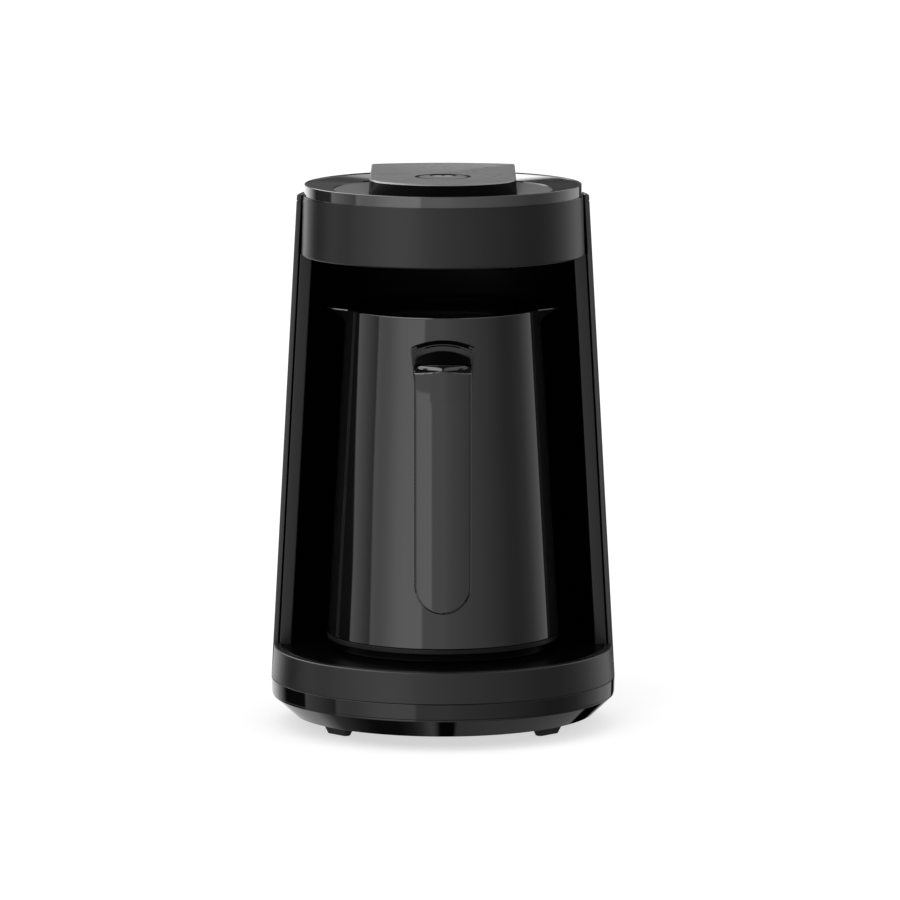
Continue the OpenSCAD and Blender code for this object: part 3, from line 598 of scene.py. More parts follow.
def bake(thing: bpy.types.Object) -> bpy.types.Object:
    """Turns a piece's modifiers into plain mesh.

    Args:
        thing: The piece.

    Returns:
        The same piece, with no modifier left.
    """
    graph = bpy.context.evaluated_depsgraph_get()
    mesh = bpy.data.meshes.new_from_object(thing.evaluated_get(graph))
    thing.modifiers.clear()
    thing.data, mesh.name = mesh, thing.name
    mesh.shade_smooth()
    mesh.set_sharp_from_angle(angle=math.radians(CREASE))
    return thing


def post(
    radius: float, low: float, high: float, at: Flat = (0.0, 0.0), steps: int = 64
) -> bpy.types.Object:
    """Makes a plain upright tool for a cut, in millimetres."""
    outline = [(0.0, low), (radius, low), (radius, high), (0.0, high)]
    return turned("tool", outline, steps, at)


def slab(low: Point, high: Point) -> bpy.types.Object:
    """Makes a plain box-shaped tool for a cut, from corner to corner."""
    return lofted("tool", [oblong(low[:2], high[:2], 0.0, z) for z in (low[2], high[2])])


def around(ring: float, degrees: Iterable[float], level: float) -> list[Point]:
    """Returns places on a ring at the given angles."""
    return [(*polar(ring, math.radians(a)), level) for a in degrees]


def seats(
    radius: float, low: float, high: float, ring: float, degrees: Iterable[float]
) -> list[bpy.types.Object]:
    """Makes the upright tools that cut screw seats on a ring."""
    return [post(radius, low, high, (x, y)) for x, y, _ in around(ring, degrees, 0.0)]


def pan_screw(length: float) -> bpy.types.Object:
    """Makes a cross-recessed screw that hangs head down, its seat at z = 0.

    Args:
        length: Length of the shank.

    Returns:
        The screw, about the origin.
    """
    head, height, shank = 2.9, 1.5, 1.2
    outline = rounded([
        (0, -height), (head, -height, height * 0.7), (head, 0, 0.15), (shank, 0),
        (shank, length, 0.4), (0, length),
    ])
    arm, half = head * 0.62, head * 0.14
    low, deep = -height - 1, -height * 0.45
    return cut(
        turned("screw", outline, 40),
        slab((-arm, -half, low), (arm, half, deep)),
        slab((-half, -arm, low), (half, arm, deep)),
    )


# ------------------------------------------------------------ geometry nodes


class Tree(Wiring):
    """A geometry node tree with named inputs."""

    def __init__(self, name: str) -> None:
        """Makes an empty tree with a geometry output.

        Args:
            name: Name of the tree.
        """
        super().__init__(bpy.data.node_groups.new(name, "GeometryNodeTree"))
        self.tree.interface.new_socket(
            "Geometry", in_out="OUTPUT", socket_type="NodeSocketGeometry"
        )
        self.inputs = self.node("NodeGroupInput")
        self.names: dict[str, str] = {}

    def ask(self, name: str, kind: str, value: object = None) -> bpy.types.NodeSocket:
        """Adds a named input.

        Args:
            name: Name of the input.
            kind: Its socket type, without the NodeSocket prefix.
            value: Its default, where it has one.

        Returns:
            The socket that carries it inside the tree.
        """
        socket = self.tree.interface.new_socket(
            name, in_out="INPUT", socket_type=f"NodeSocket{kind}"
        )
        if value is not None:
            socket.default_value = value
        self.names[name] = socket.identifier
        return self.inputs.outputs[name]

    def close(self, last: bpy.types.NodeSocket) -> None:
        """Ends the tree in Realize Instances and Set Material, its finish an input.

        Args:
            last: The geometry so far.
        """
        real = self.node("GeometryNodeRealizeInstances", {"Geometry": last})
        paint = self.node("GeometryNodeSetMaterial", {
            "Geometry": real.outputs["Geometry"], "Material": self.ask("Finish", "Material"),
        })
        self.node("NodeGroupOutput", {"Geometry": paint.outputs["Geometry"]})

    def run(self, thing: bpy.types.Object, **values: object) -> bpy.types.Object:
        """Runs the tree on an object and keeps its plain mesh.

        Args:
            thing: The object that carries the start geometry.
            values: The tree's inputs by name.

        Returns:
            The object with its new mesh.
        """
        step = thing.modifiers.new("nodes", "NODES")
        step.node_group = self.tree
        for name, value in values.items():
            step[self.names[name]] = value
        return bake(thing)


@cache
def copies_tree() -> Tree:
    """Builds the tree that sets one shape on each point of a carrier.

    Its inputs are the shape, its size, the largest random turn about +Z, how
    much its +X follows the bearing from the middle, and a further turn that is
    mirrored from one quarter to the next.

    Returns:
        The tree, the same one each time.
    """
    tree = Tree("copies_on_points")
    start, shape = tree.ask("Places", "Geometry"), tree.ask("Shape", "Object")
    size, spin, follow, skew = (
        tree.ask(name, "Float", value)
        for name, value in (("Size", 1.0), ("Spin", 0.0), ("Follow", 0.0), ("Skew", 0.0))
    )
    turn = tree.node(
        "FunctionNodeRandomValue", {3: spin, "Seed": tree.ask("Seed", "Int", 7)},
        data_type="FLOAT",
    )
    here = tree.node("GeometryNodeInputPosition").outputs["Position"]
    split = tree.node("ShaderNodeSeparateXYZ", {"Vector": here})
    x, y = split.outputs["X"], split.outputs["Y"]
    facing = tree.sums("MULTIPLY_ADD", tree.sums("ARCTAN2", y, x), follow, turn.outputs[1])
    side = tree.sums("SIGN", tree.sums("MULTIPLY", x, y))
    bearing = tree.sums("MULTIPLY_ADD", side, skew, facing)
    vector = tree.node("ShaderNodeCombineXYZ", {"Z": bearing})
    euler = tree.node("FunctionNodeEulerToRotation", {"Euler": vector.outputs["Vector"]})
    places = tree.node("GeometryNodeMeshToPoints", {"Mesh": start})
    info = tree.node("GeometryNodeObjectInfo", {"Object": shape})
    setter = tree.node("GeometryNodeInstanceOnPoints", {
        "Points": places.outputs["Points"], "Instance": info.outputs["Geometry"],
        "Rotation": euler.outputs["Rotation"], "Scale": size,
    })
    tree.close(setter.outputs["Instances"])
    return tree


def ring_tree() -> Tree:
    """Builds the tree that bends a rounded bar into a ring, at a level.

    Returns:
        The tree.
    """
    tree = Tree("ring_of_rounded_bar")
    radius, width, height, edge, level = (
        tree.ask(name, "Float", value)
        for name, value in (
            ("Radius", 0.07), ("Width", 0.004), ("Height", 0.006), ("Edge", 0.0004), ("Level", 0.0)
        )
    )
    circle = tree.node("GeometryNodeCurvePrimitiveCircle", {
        "Radius": radius, "Resolution": tree.ask("Faces", "Int", 256),
    })
    bar = tree.node("GeometryNodeCurvePrimitiveQuadrilateral", {"Width": width, "Height": height})
    soft = tree.node(
        "GeometryNodeFilletCurve", {"Curve": bar.outputs["Curve"], "Radius": edge, "Count": 5},
        mode="POLY",
    )
    sweep = tree.node("GeometryNodeCurveToMesh", {
        "Curve": circle.outputs["Curve"], "Profile Curve": soft.outputs["Curve"],
    })
    place = tree.node("GeometryNodeTransform", {
        "Geometry": sweep.outputs["Mesh"],
        "Translation": tree.node("ShaderNodeCombineXYZ", {"Z": level}).outputs["Vector"],
    })
    tree.close(place.outputs["Geometry"])
    return tree


# ------------------------------------------------------------- sub-assemblies


@dataclass
class Assembly:
    """What the sub-assemblies share: how a piece is dressed and placed."""

    body: Body = Body.HOUSING

    def settle(
        self, thing: bpy.types.Object, slot: str, *nodes: str, finish: str | None = None
    ) -> bpy.types.Object:
        """Dresses a piece, sets it on its body and reports it.

        Args:
            thing: The piece.
            slot: The record's material slot.
            nodes: The CAD nodes that it stands for.
            finish: A finish other than the slot's own.

        Returns:
            The piece.
        """
        thing.data.materials.clear()
        thing.data.materials.append(FINISHES[finish or slot].material())
        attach(thing, self.body.value)
        if nodes:
            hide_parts(*nodes)
        LOG.info("%s on %s, %d faces", thing.name, self.body.value, len(thing.data.polygons))
        return thing

    def second_finish(
        self, thing: bpy.types.Object, finish: str, wanted: Callable[[Vector, Vector], bool]
    ) -> None:
        """Gives part of a piece a second finish.

        Args:
            thing: The piece, after it was settled.
            finish: The second finish.
            wanted: Tells from a face's middle in millimetres and its normal.
        """
        thing.data.materials.append(FINISHES[finish].material())
        for face in thing.data.polygons:
            if wanted(face.center / MM, face.normal):
                face.material_index = 1

    def copies(
        self, name: str, slot: str, node: str, shape: bpy.types.Object,
        places: Sequence[Point], **turns: float,
    ) -> None:
        """Sets a shape on places as one piece, then removes the shape.

        Args:
            name: Name of the piece.
            slot: The record's material slot.
            node: The CAD node that it stands for.
            shape: The shape, built about the origin.
            places: Where the copies go, in millimetres.
            turns: The turning inputs of the copies tree.
        """
        mesh = bpy.data.meshes.new(name)
        mesh.from_pydata([Vector(p) * MM for p in places], [], [])
        carrier = linked(name, mesh)
        bpy.context.view_layer.update()
        finish = FINISHES[slot].material()
        self.settle(copies_tree().run(carrier, Shape=shape, Finish=finish, **turns), slot, node)
        bpy.data.objects.remove(shape)


@dataclass(frozen=True)
class Levels:
    """Heights of the main parting lines, in millimetres."""

    skirt: float = 5.9
    trim: float = 15.1
    band: float = 22.2
    band_top: float = 36.5
    deck: float = 36.3
    jug: float = 40.1
    jug_foot: float = 43.2
    notch: float = 47.1
    pot_rim: float = 187.5
    jug_top: float = 193.5
    head: float = 217.7
    ring: float = 245.2
    head_top: float = 250.4
    plate: float = 250.1
    disc: float = 249.9
    pod_top: float = 255.8


@dataclass(frozen=True)
class Taper:
    """A round wall that leans in evenly from its foot to its top."""

    foot_r: float
    top_r: float
    foot_z: float
    top_z: float

    def radius(self, z: float) -> float:
        """Returns its outer radius at a height."""
        lean = (self.foot_r - self.top_r) * (z - self.foot_z) / (self.top_z - self.foot_z)
        return self.foot_r - lean


LEVELS = Levels()
BASE_R = 79.5  # outer radius of the base, and of the housing at its foot
BAY_WALL = 8.6  # from the housing's face to the open bay
SHELL = Taper(BASE_R, 67.0, LEVELS.band, LEVELS.ring)
JUG = Taper(53.7, 44.8, LEVELS.jug, LEVELS.jug_top)


def bay_r(z: float) -> float:
    """Returns the radius of the open bay at a height."""
    return SHELL.radius(z) - BAY_WALL


@dataclass
class BaseUnit(Assembly):
    """Feet, skirt, trim ring, band, deck, power tongue and cord inlet."""

    foot_w: float = 16.2
    foot_d: float = 4.0
    foot_out: float = 57.9
    foot_lean: float = 1.8
    foot_turn: float = 34.7
    foot_face: float = 45.0
    foot_edge: float = 1.3
    groove_at: float = 0.9
    groove_half: float = 0.35
    groove_deep: float = 0.5
    skirt_foot: float = 70.3
    skirt_top: float = 79.0
    rib_r: float = 52.0
    rib_h: float = 0.5
    wall: float = 2.4
    seam: float = 0.1
    band_lean: float = 1.4
    band_edge: float = 0.6
    deck_r: float = 74.2
    platform: float = 50.0
    screw_ring: float = 60.0
    screw_at: tuple[float, ...] = (15.0, 165.0, 235.0, 305.0)
    seat_r: float = 3.3
    seat_deep: float = 1.9
    tongue: Flat = (14.0, 28.0)
    tongue_gap: float = 0.1
    tongue_edge: float = 0.8
    tongue_top: float = 46.1
    slot_at: tuple[float, ...] = (-4.0, 0.0, 4.0)
    slot_half: Flat = (0.6, 10.1)
    bushing_bore: float = 3.5
    bushing_neck: float = 4.9
    bushing_flange: float = 5.6
    bushing_rim: float = 1.2
    bushing_long: float = 11.0

    def build(self) -> None:
        """Makes and places the pieces of the base."""
        self._feet()
        self._skirt()
        self._trim()
        self._band()
        self._deck()
        self._tongue()
        self._inlet()
        self.copies(
            "underside_screws", "screw_steel", "base_screws", pan_screw(10),
            around(self.screw_ring, self.screw_at, LEVELS.skirt + self.seat_deep), Spin=math.pi,
        )

    def _feet(self) -> None:
        """Rubber blocks along the edge, with a grooved tread."""
        top, lean, gap = LEVELS.skirt, self.foot_lean, self.groove_half
        rings = []
        for z, grow in (
            (0.0, -0.4), (0.15, -0.12), (0.6, 0.0), (2.6, lean * 0.4),
            (top - 0.4, lean * 0.95), (top + 0.3, lean * 1.1),
        ):
            a, b = self.foot_d / 2 + grow, self.foot_w / 2 - lean + grow
            rings.append(oblong((-a, -b), (a, b), self.foot_edge, z, 8))
        grooves = [
            slab((x - gap, -9.0, -1.0), (x + gap, 9.0, self.groove_deep))
            for x in (-self.groove_at, self.groove_at)
        ]
        shape = cut(lofted("foot", rings, crease=50), *grooves)
        turns = (self.foot_turn, 180 - self.foot_turn, 180 + self.foot_turn, -self.foot_turn)
        self.copies(
            "rubber_feet", "foot_rubber", "feet", shape, around(self.foot_out, turns, 0.0),
            Follow=1.0, Skew=math.radians(self.foot_face - self.foot_turn),
        )

    def _skirt(self) -> None:
        """Tapered tray with a shallow rib ring and recessed screw seats."""
        z0, z1, r, foot = LEVELS.skirt, LEVELS.trim, self.skirt_top, self.skirt_foot
        outline = rounded([
            (0.0, z0 + self.rib_h), (self.rib_r, z0 + self.rib_h, 0.2),
            (self.rib_r + self.rib_h, z0, 0.2), (foot, z0, 0.5),
            (r, z1 - 0.9, 0.15), (r, z1 - self.seam, 0.1), (r - self.wall, z1 - self.seam),
            (foot - 1, z0 + self.wall), (0.0, z0 + self.wall),
        ])
        skirt = turned("tapered_skirt", outline, 256)
        tools = seats(self.seat_r, z0 - 1, z0 + self.seat_deep, self.screw_ring, self.screw_at)
        self.settle(cut(skirt, *tools), "skirt_black", "base_skirt")
        self.second_finish(skirt, "skirt_under", lambda at, way: way.z < -0.9)

    def _trim(self) -> None:
        """Polished ring that stands a little proud between skirt and band."""
        z0, z1, r = LEVELS.trim, LEVELS.band - self.seam, BASE_R
        outline = rounded([(r - 5, z0), (r - 0.2, z0, 0.2), (r, z1, 0.2), (r - 5, z1)])
        self.settle(turned("trim_ring", outline, 288), "gloss_black", "base_trim_ring")

    def _band(self) -> None:
        """Satin front half of the base with a softly rounded upper edge."""
        z0, z1, inner = LEVELS.band, LEVELS.band_top, SHELL.radius(LEVELS.band_top) - 4
        corners = [
            (inner, z0), (BASE_R - 0.05, z0, 0.3),
            (BASE_R - self.band_lean, z1, self.band_edge), (inner, z1, 0.3),
        ]
        band = turned("front_band", rounded(corners, 8), 200, arc=(180.12, 359.88))
        self.settle(band, "satin_anthracite", "base_band")

    def _deck(self) -> None:
        """Polished deck with the raised platform under the jug."""
        z, top, p = LEVELS.deck, LEVELS.jug, self.platform
        outline = rounded([
            (0.0, z - self.wall), (self.deck_r, z - self.wall), (self.deck_r, z, 0.5),
            (p, z, 1.0), (p - 0.7, top, 0.9), (0.0, top),
        ])
        a, b = (side / 2 + self.tongue_gap for side in self.tongue)
        deck = cut(turned("polished_deck", outline, 256), slab((-a, -b, z - 9), (a, b, top + 2)))
        self.settle(deck, "deck_gloss", "base_deck")

    def _tongue(self) -> None:
        """Upright plastic tongue of the power connector, with its contact slots."""
        z0, z1, edge = LEVELS.deck - self.wall, self.tongue_top, self.tongue_edge
        rings = []
        for z, inset in ((z0, 0), (z1 - edge, 0), (z1 - 0.25, 0.25), (z1, edge)):
            a, b = (side / 2 - inset for side in self.tongue)
            rings.append(oblong((-a, -b), (a, b), edge, z))
        a, b = self.slot_half
        slots = [slab((x - a, -b, z0 - 1), (x + a, b, z1 + 1)) for x in self.slot_at]
        tongue = cut(lofted("connector_guide", rings), *slots)
        self.settle(tongue, "connector_black", "connector_tongue")

    def _inlet(self) -> None:
        """Rubber bushing of the mains cord, set in the rear wall."""
        bore, neck, flange = self.bushing_bore, self.bushing_neck, self.bushing_flange
        rim, long = self.bushing_rim, self.bushing_long
        outline = rounded([
            (bore, 0, 0.5), (flange, 0, 0.7), (flange, rim, 0.2), (neck, rim),
            (neck, long, 0.3), (bore, long, 0.3),
        ])
        rings = []
        for i in range(96):
            c, s = polar(1.0, math.tau * i / 96)
            rings.append([(r * c, BASE_R - 0.1 - y, INLET_Z + r * s) for r, y in outline])
        self.settle(lofted("cord_inlet", rings, loop=True), "bushing_rubber", "cord_bushing")


def half_arc(radius: float, back: float = 0.0, steps: int = 128) -> list[Flat]:
    """Returns an arc behind the middle plane.

    Args:
        radius: Its radius.
        back: How far its ends stand back from the plane.
        steps: Its faces.

    Returns:
        Its points, from the right to the left.
    """
    first = math.asin(back / radius)
    return [polar(radius, first + (math.pi - 2 * first) * i / steps) for i in range(steps + 1)]


def soft_plan(plan: Sequence[Flat], soft: Mapping[int, float], z: float) -> list[Point]:
    """Returns a plan at a height, rounded at the corners whose radius soft gives."""
    corners = [(x, y, soft.get(i, 0.0)) for i, (x, y) in enumerate(plan)]
    return [(x, y, z) for x, y in rounded(corners, 5)]


@dataclass
class RearHousing(Assembly):
    """Half-round outer shell, the bay's liner and the steam guard."""

    wall: float = 2.3
    liner_wall: float = 2.0
    shadow_gap: float = 0.6
    tip: float = 0.4
    rim_h: float = 3.2
    rim_seam: float = 0.6
    rim_edge: float = 0.5
    inlet_r: float = 5.0
    guard_h: float = 13.0
    guard_half: float = 31.0
    guard_wall: float = 1.7
    wall_rings: tuple[float, ...] = (60.0, 110.0, 160.0, 210.0)
    liner_rings: Flat = (90.0, 150.0)

    def build(self) -> None:
        """Makes and places the pieces of the housing."""
        self._shell()
        self._liner()
        self._guard()

    def _shell(self) -> None:
        """Outer shell with a seam under its top rim and rounded front tips."""
        z1, g, seam = LEVELS.ring, self.rim_seam, LEVELS.ring - self.rim_h

        def ring(
            z: float, inset: float, wall: float, tip: float, back: float = 0.0
        ) -> list[Point]:
            """Returns the wall's plan at a height.

            Args:
                z: The height.
                inset: How far it stands in from the shell's face.
                wall: Its thickness.
                tip: Radius of the corners at its two front tips.
                back: How far the tips stand back from the middle plane.

            Returns:
                The closed plan.
            """
            out = SHELL.radius(z) - inset
            outer, inner = half_arc(out, back), half_arc(out - wall, back)
            last = len(outer) - 1
            soft = dict.fromkeys((0, last, last + 1, 2 * last + 1), tip)
            return soft_plan(outer + inner[::-1], soft, z)

        rings = [
            ring(z, 0.0, self.wall, self.tip)
            for z in (LEVELS.band, *self.wall_rings, seam)
        ]
        rings += [ring(z, g, self.wall - g, 0.2, g) for z in (seam + 0.05, seam + g - 0.05)]
        rings.append(ring(seam + g, 0.0, self.wall, self.tip))
        for k, (c, s) in enumerate(quarter(6)[1:], 1):
            inset = self.rim_edge * (1 - c)
            z = z1 - self.rim_edge * (1 - s)
            plan = ring(z, inset, self.wall - 1.4 * inset, self.tip, inset * 0.8)
            rings.append([(x, y, h - min(1.0, 0.05 * y) * k / 6) for x, y, h in plan])
        circle = [polar(self.inlet_r, math.tau * i / 64) for i in range(64)]
        bore = lofted("tool", [[(x, y, INLET_Z + z) for x, z in circle] for y in (50.0, 90.0)])
        shell = cut(lofted("rear_shell_outer", rings), bore)
        self.settle(shell, "shell_anthracite", "rear_shell")
        self.second_finish(
            shell, "gloss_graphite", lambda at, way: at.z > seam + g and way.z > 0.5
        )

    def _liner(self) -> None:
        """Inner wall of the bay with its flat front faces; its inside is a darker copy of the
        plastic, painted shade.
        """
        wall, rings = self.liner_wall, []
        for z in (LEVELS.deck, *self.liner_rings, LEVELS.head):
            edge = SHELL.radius(z) - self.wall - self.shadow_gap
            inner, outer = half_arc(bay_r(z)), half_arc(bay_r(z) + wall, wall)
            plan = [(edge, 0.0), *inner, (-edge, 0.0), (-edge, wall), *outer[::-1], (edge, wall)]
            last = len(inner)
            rings.append(soft_plan(plan, {0: 0.5, 1: 0.9, last: 0.9, last + 1: 0.5}, z))
        # The liner's inside is the darker copy, painted shade; its front faces get the plainer
        # black of the plastic.
        liner = self.settle(lofted("bay_liner", rings), "liner_black", "cavity_liner")
        self.second_finish(liner, "liner_face", lambda at, way: way.y < -0.7 and at.y < 1.5)

    def _guard(self) -> None:
        """Curved guard under the head with a rounded lower lip."""
        z0, z1 = LEVELS.head - self.guard_h, LEVELS.head
        spread = math.degrees(math.asin(self.guard_half / (bay_r(z1) - 1)))
        outline = rounded([
            (bay_r(z0) - self.guard_wall, z0, 0.7), (bay_r(z0) - 0.05, z0, 0.2),
            (bay_r(z1) - 0.05, z1), (bay_r(z1) - self.guard_wall, z1),
        ])
        guard = turned("steam_guard_lip", outline, 64, arc=(90 - spread, 90 + spread))
        self.settle(guard, "guard_black", "steam_guard")


@dataclass
class Head(Assembly):
    """Round head: band, trim ring, top, floor, control pod and sensor window."""

    radius: float = 65.1
    lean: float = 0.9
    wall: float = 3.0
    edge: float = 1.0
    plate_r: float = 62.6
    ring_back: float = 0.6
    ring_crown: Flat = (0.5, 0.3)
    dome: float = 0.12
    dome_from: float = 44.0
    disc_r: float = 49.8
    pod_half: float = 33.2
    pod_flare: float = 0.3
    pod_nose: float = 34.2
    pod_front: float = 61.3
    pod_foot: float = 62.5
    pod_back: float = 45.0
    pod_back_r: float = 92.0
    pod_edge: float = 0.7
    pod_corner: float = 1.2
    pod_middle: float = -8.0
    button_hole: float = 12.75
    plunger_hole: float = 5.0
    window_r: float = 7.0
    screw_ring: float = 55.0
    screw_at: tuple[float, ...] = (45.0, 135.0, 225.0, 315.0)
    seat_r: float = 3.2
    seat_deep: float = 1.9
    floor_wall: float = 2.2
    seam: float = 0.5

    def build(self) -> None:
        """Makes and places the pieces of the head."""
        self._floor()
        self._band()
        self._ring()
        self._top()
        self._pod()
        self._window()
        self.copies(
            "head_floor_screws", "screw_black", "head_screws", pan_screw(9),
            around(self.screw_ring, self.screw_at, LEVELS.head + self.seat_deep), Spin=math.pi,
        )
        self._seam()

    def _floor(self) -> None:
        """Underside of the head with screw recesses and a stepped window seat."""
        z0, z1, out = LEVELS.head, LEVELS.head + self.floor_wall, self.radius - 3.2
        outline = rounded([
            (0.0, z0 + 0.8), (10.0, z0 + 0.8, 0.3), (10.8, z0, 0.3), (out, z0, 0.3),
            (out, z1), (0.0, z1),
        ])
        floor = turned("head_underside", outline, 224)
        tools = seats(self.seat_r, z0 - 1, z0 + self.seat_deep, self.screw_ring, self.screw_at)
        tools.append(post(self.window_r + 0.1, z0 - 1, z1 + 1))
        self.settle(cut(floor, *tools), "liner_black", "head_floor")

    def _band(self) -> None:
        """Satin band with a rounded lower edge."""
        z0, z1, r, inner = LEVELS.head, LEVELS.ring - 0.05, self.radius, self.radius - self.wall
        corners = [
            (inner, z0, 0.2), (r - 0.05, z0, self.edge), (r - self.lean, z1, 0.35), (inner, z1)
        ]
        band = turned("head_band_satin", rounded(corners, 8), 288)
        self.settle(band, "satin_anthracite", "head_band")

    def _ring(self) -> None:
        """Polished ring whose outer face rolls over at its top."""
        z0, z1, r = LEVELS.ring, LEVELS.head_top, self.radius - self.lean - self.ring_back
        inner, (wide, high) = self.plate_r + 0.05, self.ring_crown
        outline = [(inner, z0), (r, z0)]
        outline += [(r - wide * (1 - c), z1 - high * (1 - s)) for c, s in quarter(12)]
        outline += [(inner + 0.1, z1), (inner, z1 - 0.1)]
        ring = turned("head_ring", outline, 320)
        self.settle(ring, "gloss_black", "head_trim_ring", finish="gloss_graphite")

    def _top(self) -> None:
        """Crescent plate and the disc about the button, a groove between them."""
        z, d, middle, out = LEVELS.plate, LEVELS.disc, (0.0, BUTTON_Y), self.plate_r
        dome = [(0.0, z - 2.2), (out, z - 2.2)]
        for k in range(17):
            r = out - (out - self.dome_from) * k / 16
            fall = ((r - self.dome_from) / (out - self.dome_from)) ** 2
            dome.append((r, z + 0.2 - self.dome * fall))
        dome.append((0.0, z + 0.2))
        plate = turned("top_outer_plate", dome, 256)
        hole = post(self.disc_r + 0.25, z - 9, z + 9, middle, 256)
        self.settle(cut(plate, hole), "top_dark", "top_plate")
        flat = [(0.0, d - 2.0), (self.disc_r, d - 2.0), (self.disc_r, d, 0.2), (0.0, d)]
        disc = turned("top_inner_disc", rounded(flat), 256, middle)
        past = self.radius + 30
        rim = turned("tool", [(out, d - 9), (past, d - 9), (past, d + 9), (out, d + 9)], 256)
        hole = post(self.plunger_hole, d - 6, d + 2, middle)
        self.settle(cut(disc, hole, rim), "top_light", "top_disc")

    def _plan(
        self, half: float, nose: float, nose_y: float, back: float, steps: int
    ) -> list[Flat]:
        """Returns the pod's plan.

        Args:
            half: Half width.
            nose: Radius of the front arc.
            nose_y: Place of the front arc's centre.
            back: Place of the back edge on the middle line.
            steps: Number of its points, evenly turned about its middle.

        Returns:
            The closed plan.
        """
        corner, middle = self.pod_corner, self.pod_middle

        def outside(x: float, y: float) -> float:
            """Returns the rounded distance from the plan, below 0 inside.

            Args:
                x: Place across the pod.
                y: Place along it.

            Returns:
                The distance.
            """
            gaps = (
                abs(x) - half,
                math.hypot(x, y - (back - self.pod_back_r)) - self.pod_back_r,
                math.hypot(x, y - nose_y) - nose if y < nose_y else -corner,
            )
            return math.sqrt(sum(max(g + corner, 0.0) ** 2 for g in gaps)) - corner

        found = []
        for i in range(steps):
            c, s = polar(1.0, math.tau * i / steps)
            low, high = 0.0, self.pod_back_r
            for _ in range(40):
                mid = (low + high) / 2
                if outside(mid * c, middle + mid * s) < 0:
                    low = mid
                else:
                    high = mid
            found.append((low * c, middle + low * s))
        return found

    def _pod(self) -> None:
        """Raised control pod with a soft edge and the button's opening."""
        z0, z1, f, flare = LEVELS.head_top, LEVELS.pod_top, self.pod_edge, self.pod_flare
        feet = self._plan(self.pod_half + flare, self.pod_foot, 0.0, self.pod_back + flare, 320)
        nose_y = self.pod_nose - self.pod_front
        tops = self._plan(self.pod_half, self.pod_nose, nose_y, self.pod_back, 320)

        def ring(t: float, inset: float, z: float) -> list[Point]:
            """Returns the pod's plan between its foot and its top.

            Args:
                t: Share of the way to the top.
                inset: How far it is drawn in.
                z: The height.

            Returns:
                The closed plan.
            """
            plan = [
                (p[0] * (1 - t) + q[0] * t, p[1] * (1 - t) + q[1] * t)
                for p, q in zip(feet, tops)
            ]
            found = []
            for i, (x, y) in enumerate(plan):
                before, after = plan[i - 1], plan[(i + 1) % len(plan)]
                run = Vector((after[0] - before[0], after[1] - before[1])).normalized()
                found.append((x - run.y * inset, y + run.x * inset, z))
            return found

        rings = [ring(0, 0, z0 - 0.6), ring(0, 0, z0)]
        rings += [ring(t, 0, z0 + (z1 - z0) * t) for t in (0.3, 0.6)]
        for c, s in quarter(6):
            z = z1 - f + f * s
            rings.append(ring((z - z0) / (z1 - z0), f * (1 - c), z))
        hole = post(self.button_hole, z0 - 3, z1 + 1.2, (0.0, BUTTON_Y), 128)
        pod = cut(lofted("control_pod_body", rings), hole)
        self.settle(pod, "pod_satin", "control_pod")

        def dark(at: Vector, way: Vector) -> bool:
            """Tells whether a face lies under the top's rim, the pod's black side, or on the
            button opening's wall, painted black as shade in the gap.

            Args:
                at: Its middle.
                way: Its normal.

            Returns:
                Whether it is dark.
            """
            # The opening's wall is painted black: painted shade in the gap round the button.
            if math.hypot(at.x, at.y - BUTTON_Y) < self.button_hole + 0.3:
                return abs(way.z) < 0.5
            return at.z < z1 - f - 0.1

        self.second_finish(pod, "pod_black", dark)

    def _window(self) -> None:
        """Dark window of the foam sensor."""
        z, r = LEVELS.head, self.window_r
        outline = rounded([
            (0.0, z - 0.6), (r, z - 0.6, 0.8), (r, z + self.floor_wall),
            (r + 1.5, z + self.floor_wall),
            (r + 1.5, z + 3.0, 0.2), (0.0, z + 3.0),
        ])
        self.settle(turned("foam_sensor_window", outline, 96), "window_red", "sensor_window")

    def _seam(self) -> None:
        """Thin dark seam between the band and the ring."""
        seam = linked("head_seam", bpy.data.meshes.new("head_seam"))
        ring_tree().run(
            seam,
            Radius=(self.radius - self.lean - self.seam / 2) * MM,
            Width=self.seam * MM,
            Height=self.seam * MM,
            Edge=self.seam / 10 * MM,
            Level=(LEVELS.ring - 0.2) * MM,
            Finish=FINISHES["gloss_black"].material(),
        )
        self.settle(seam, "gloss_black")


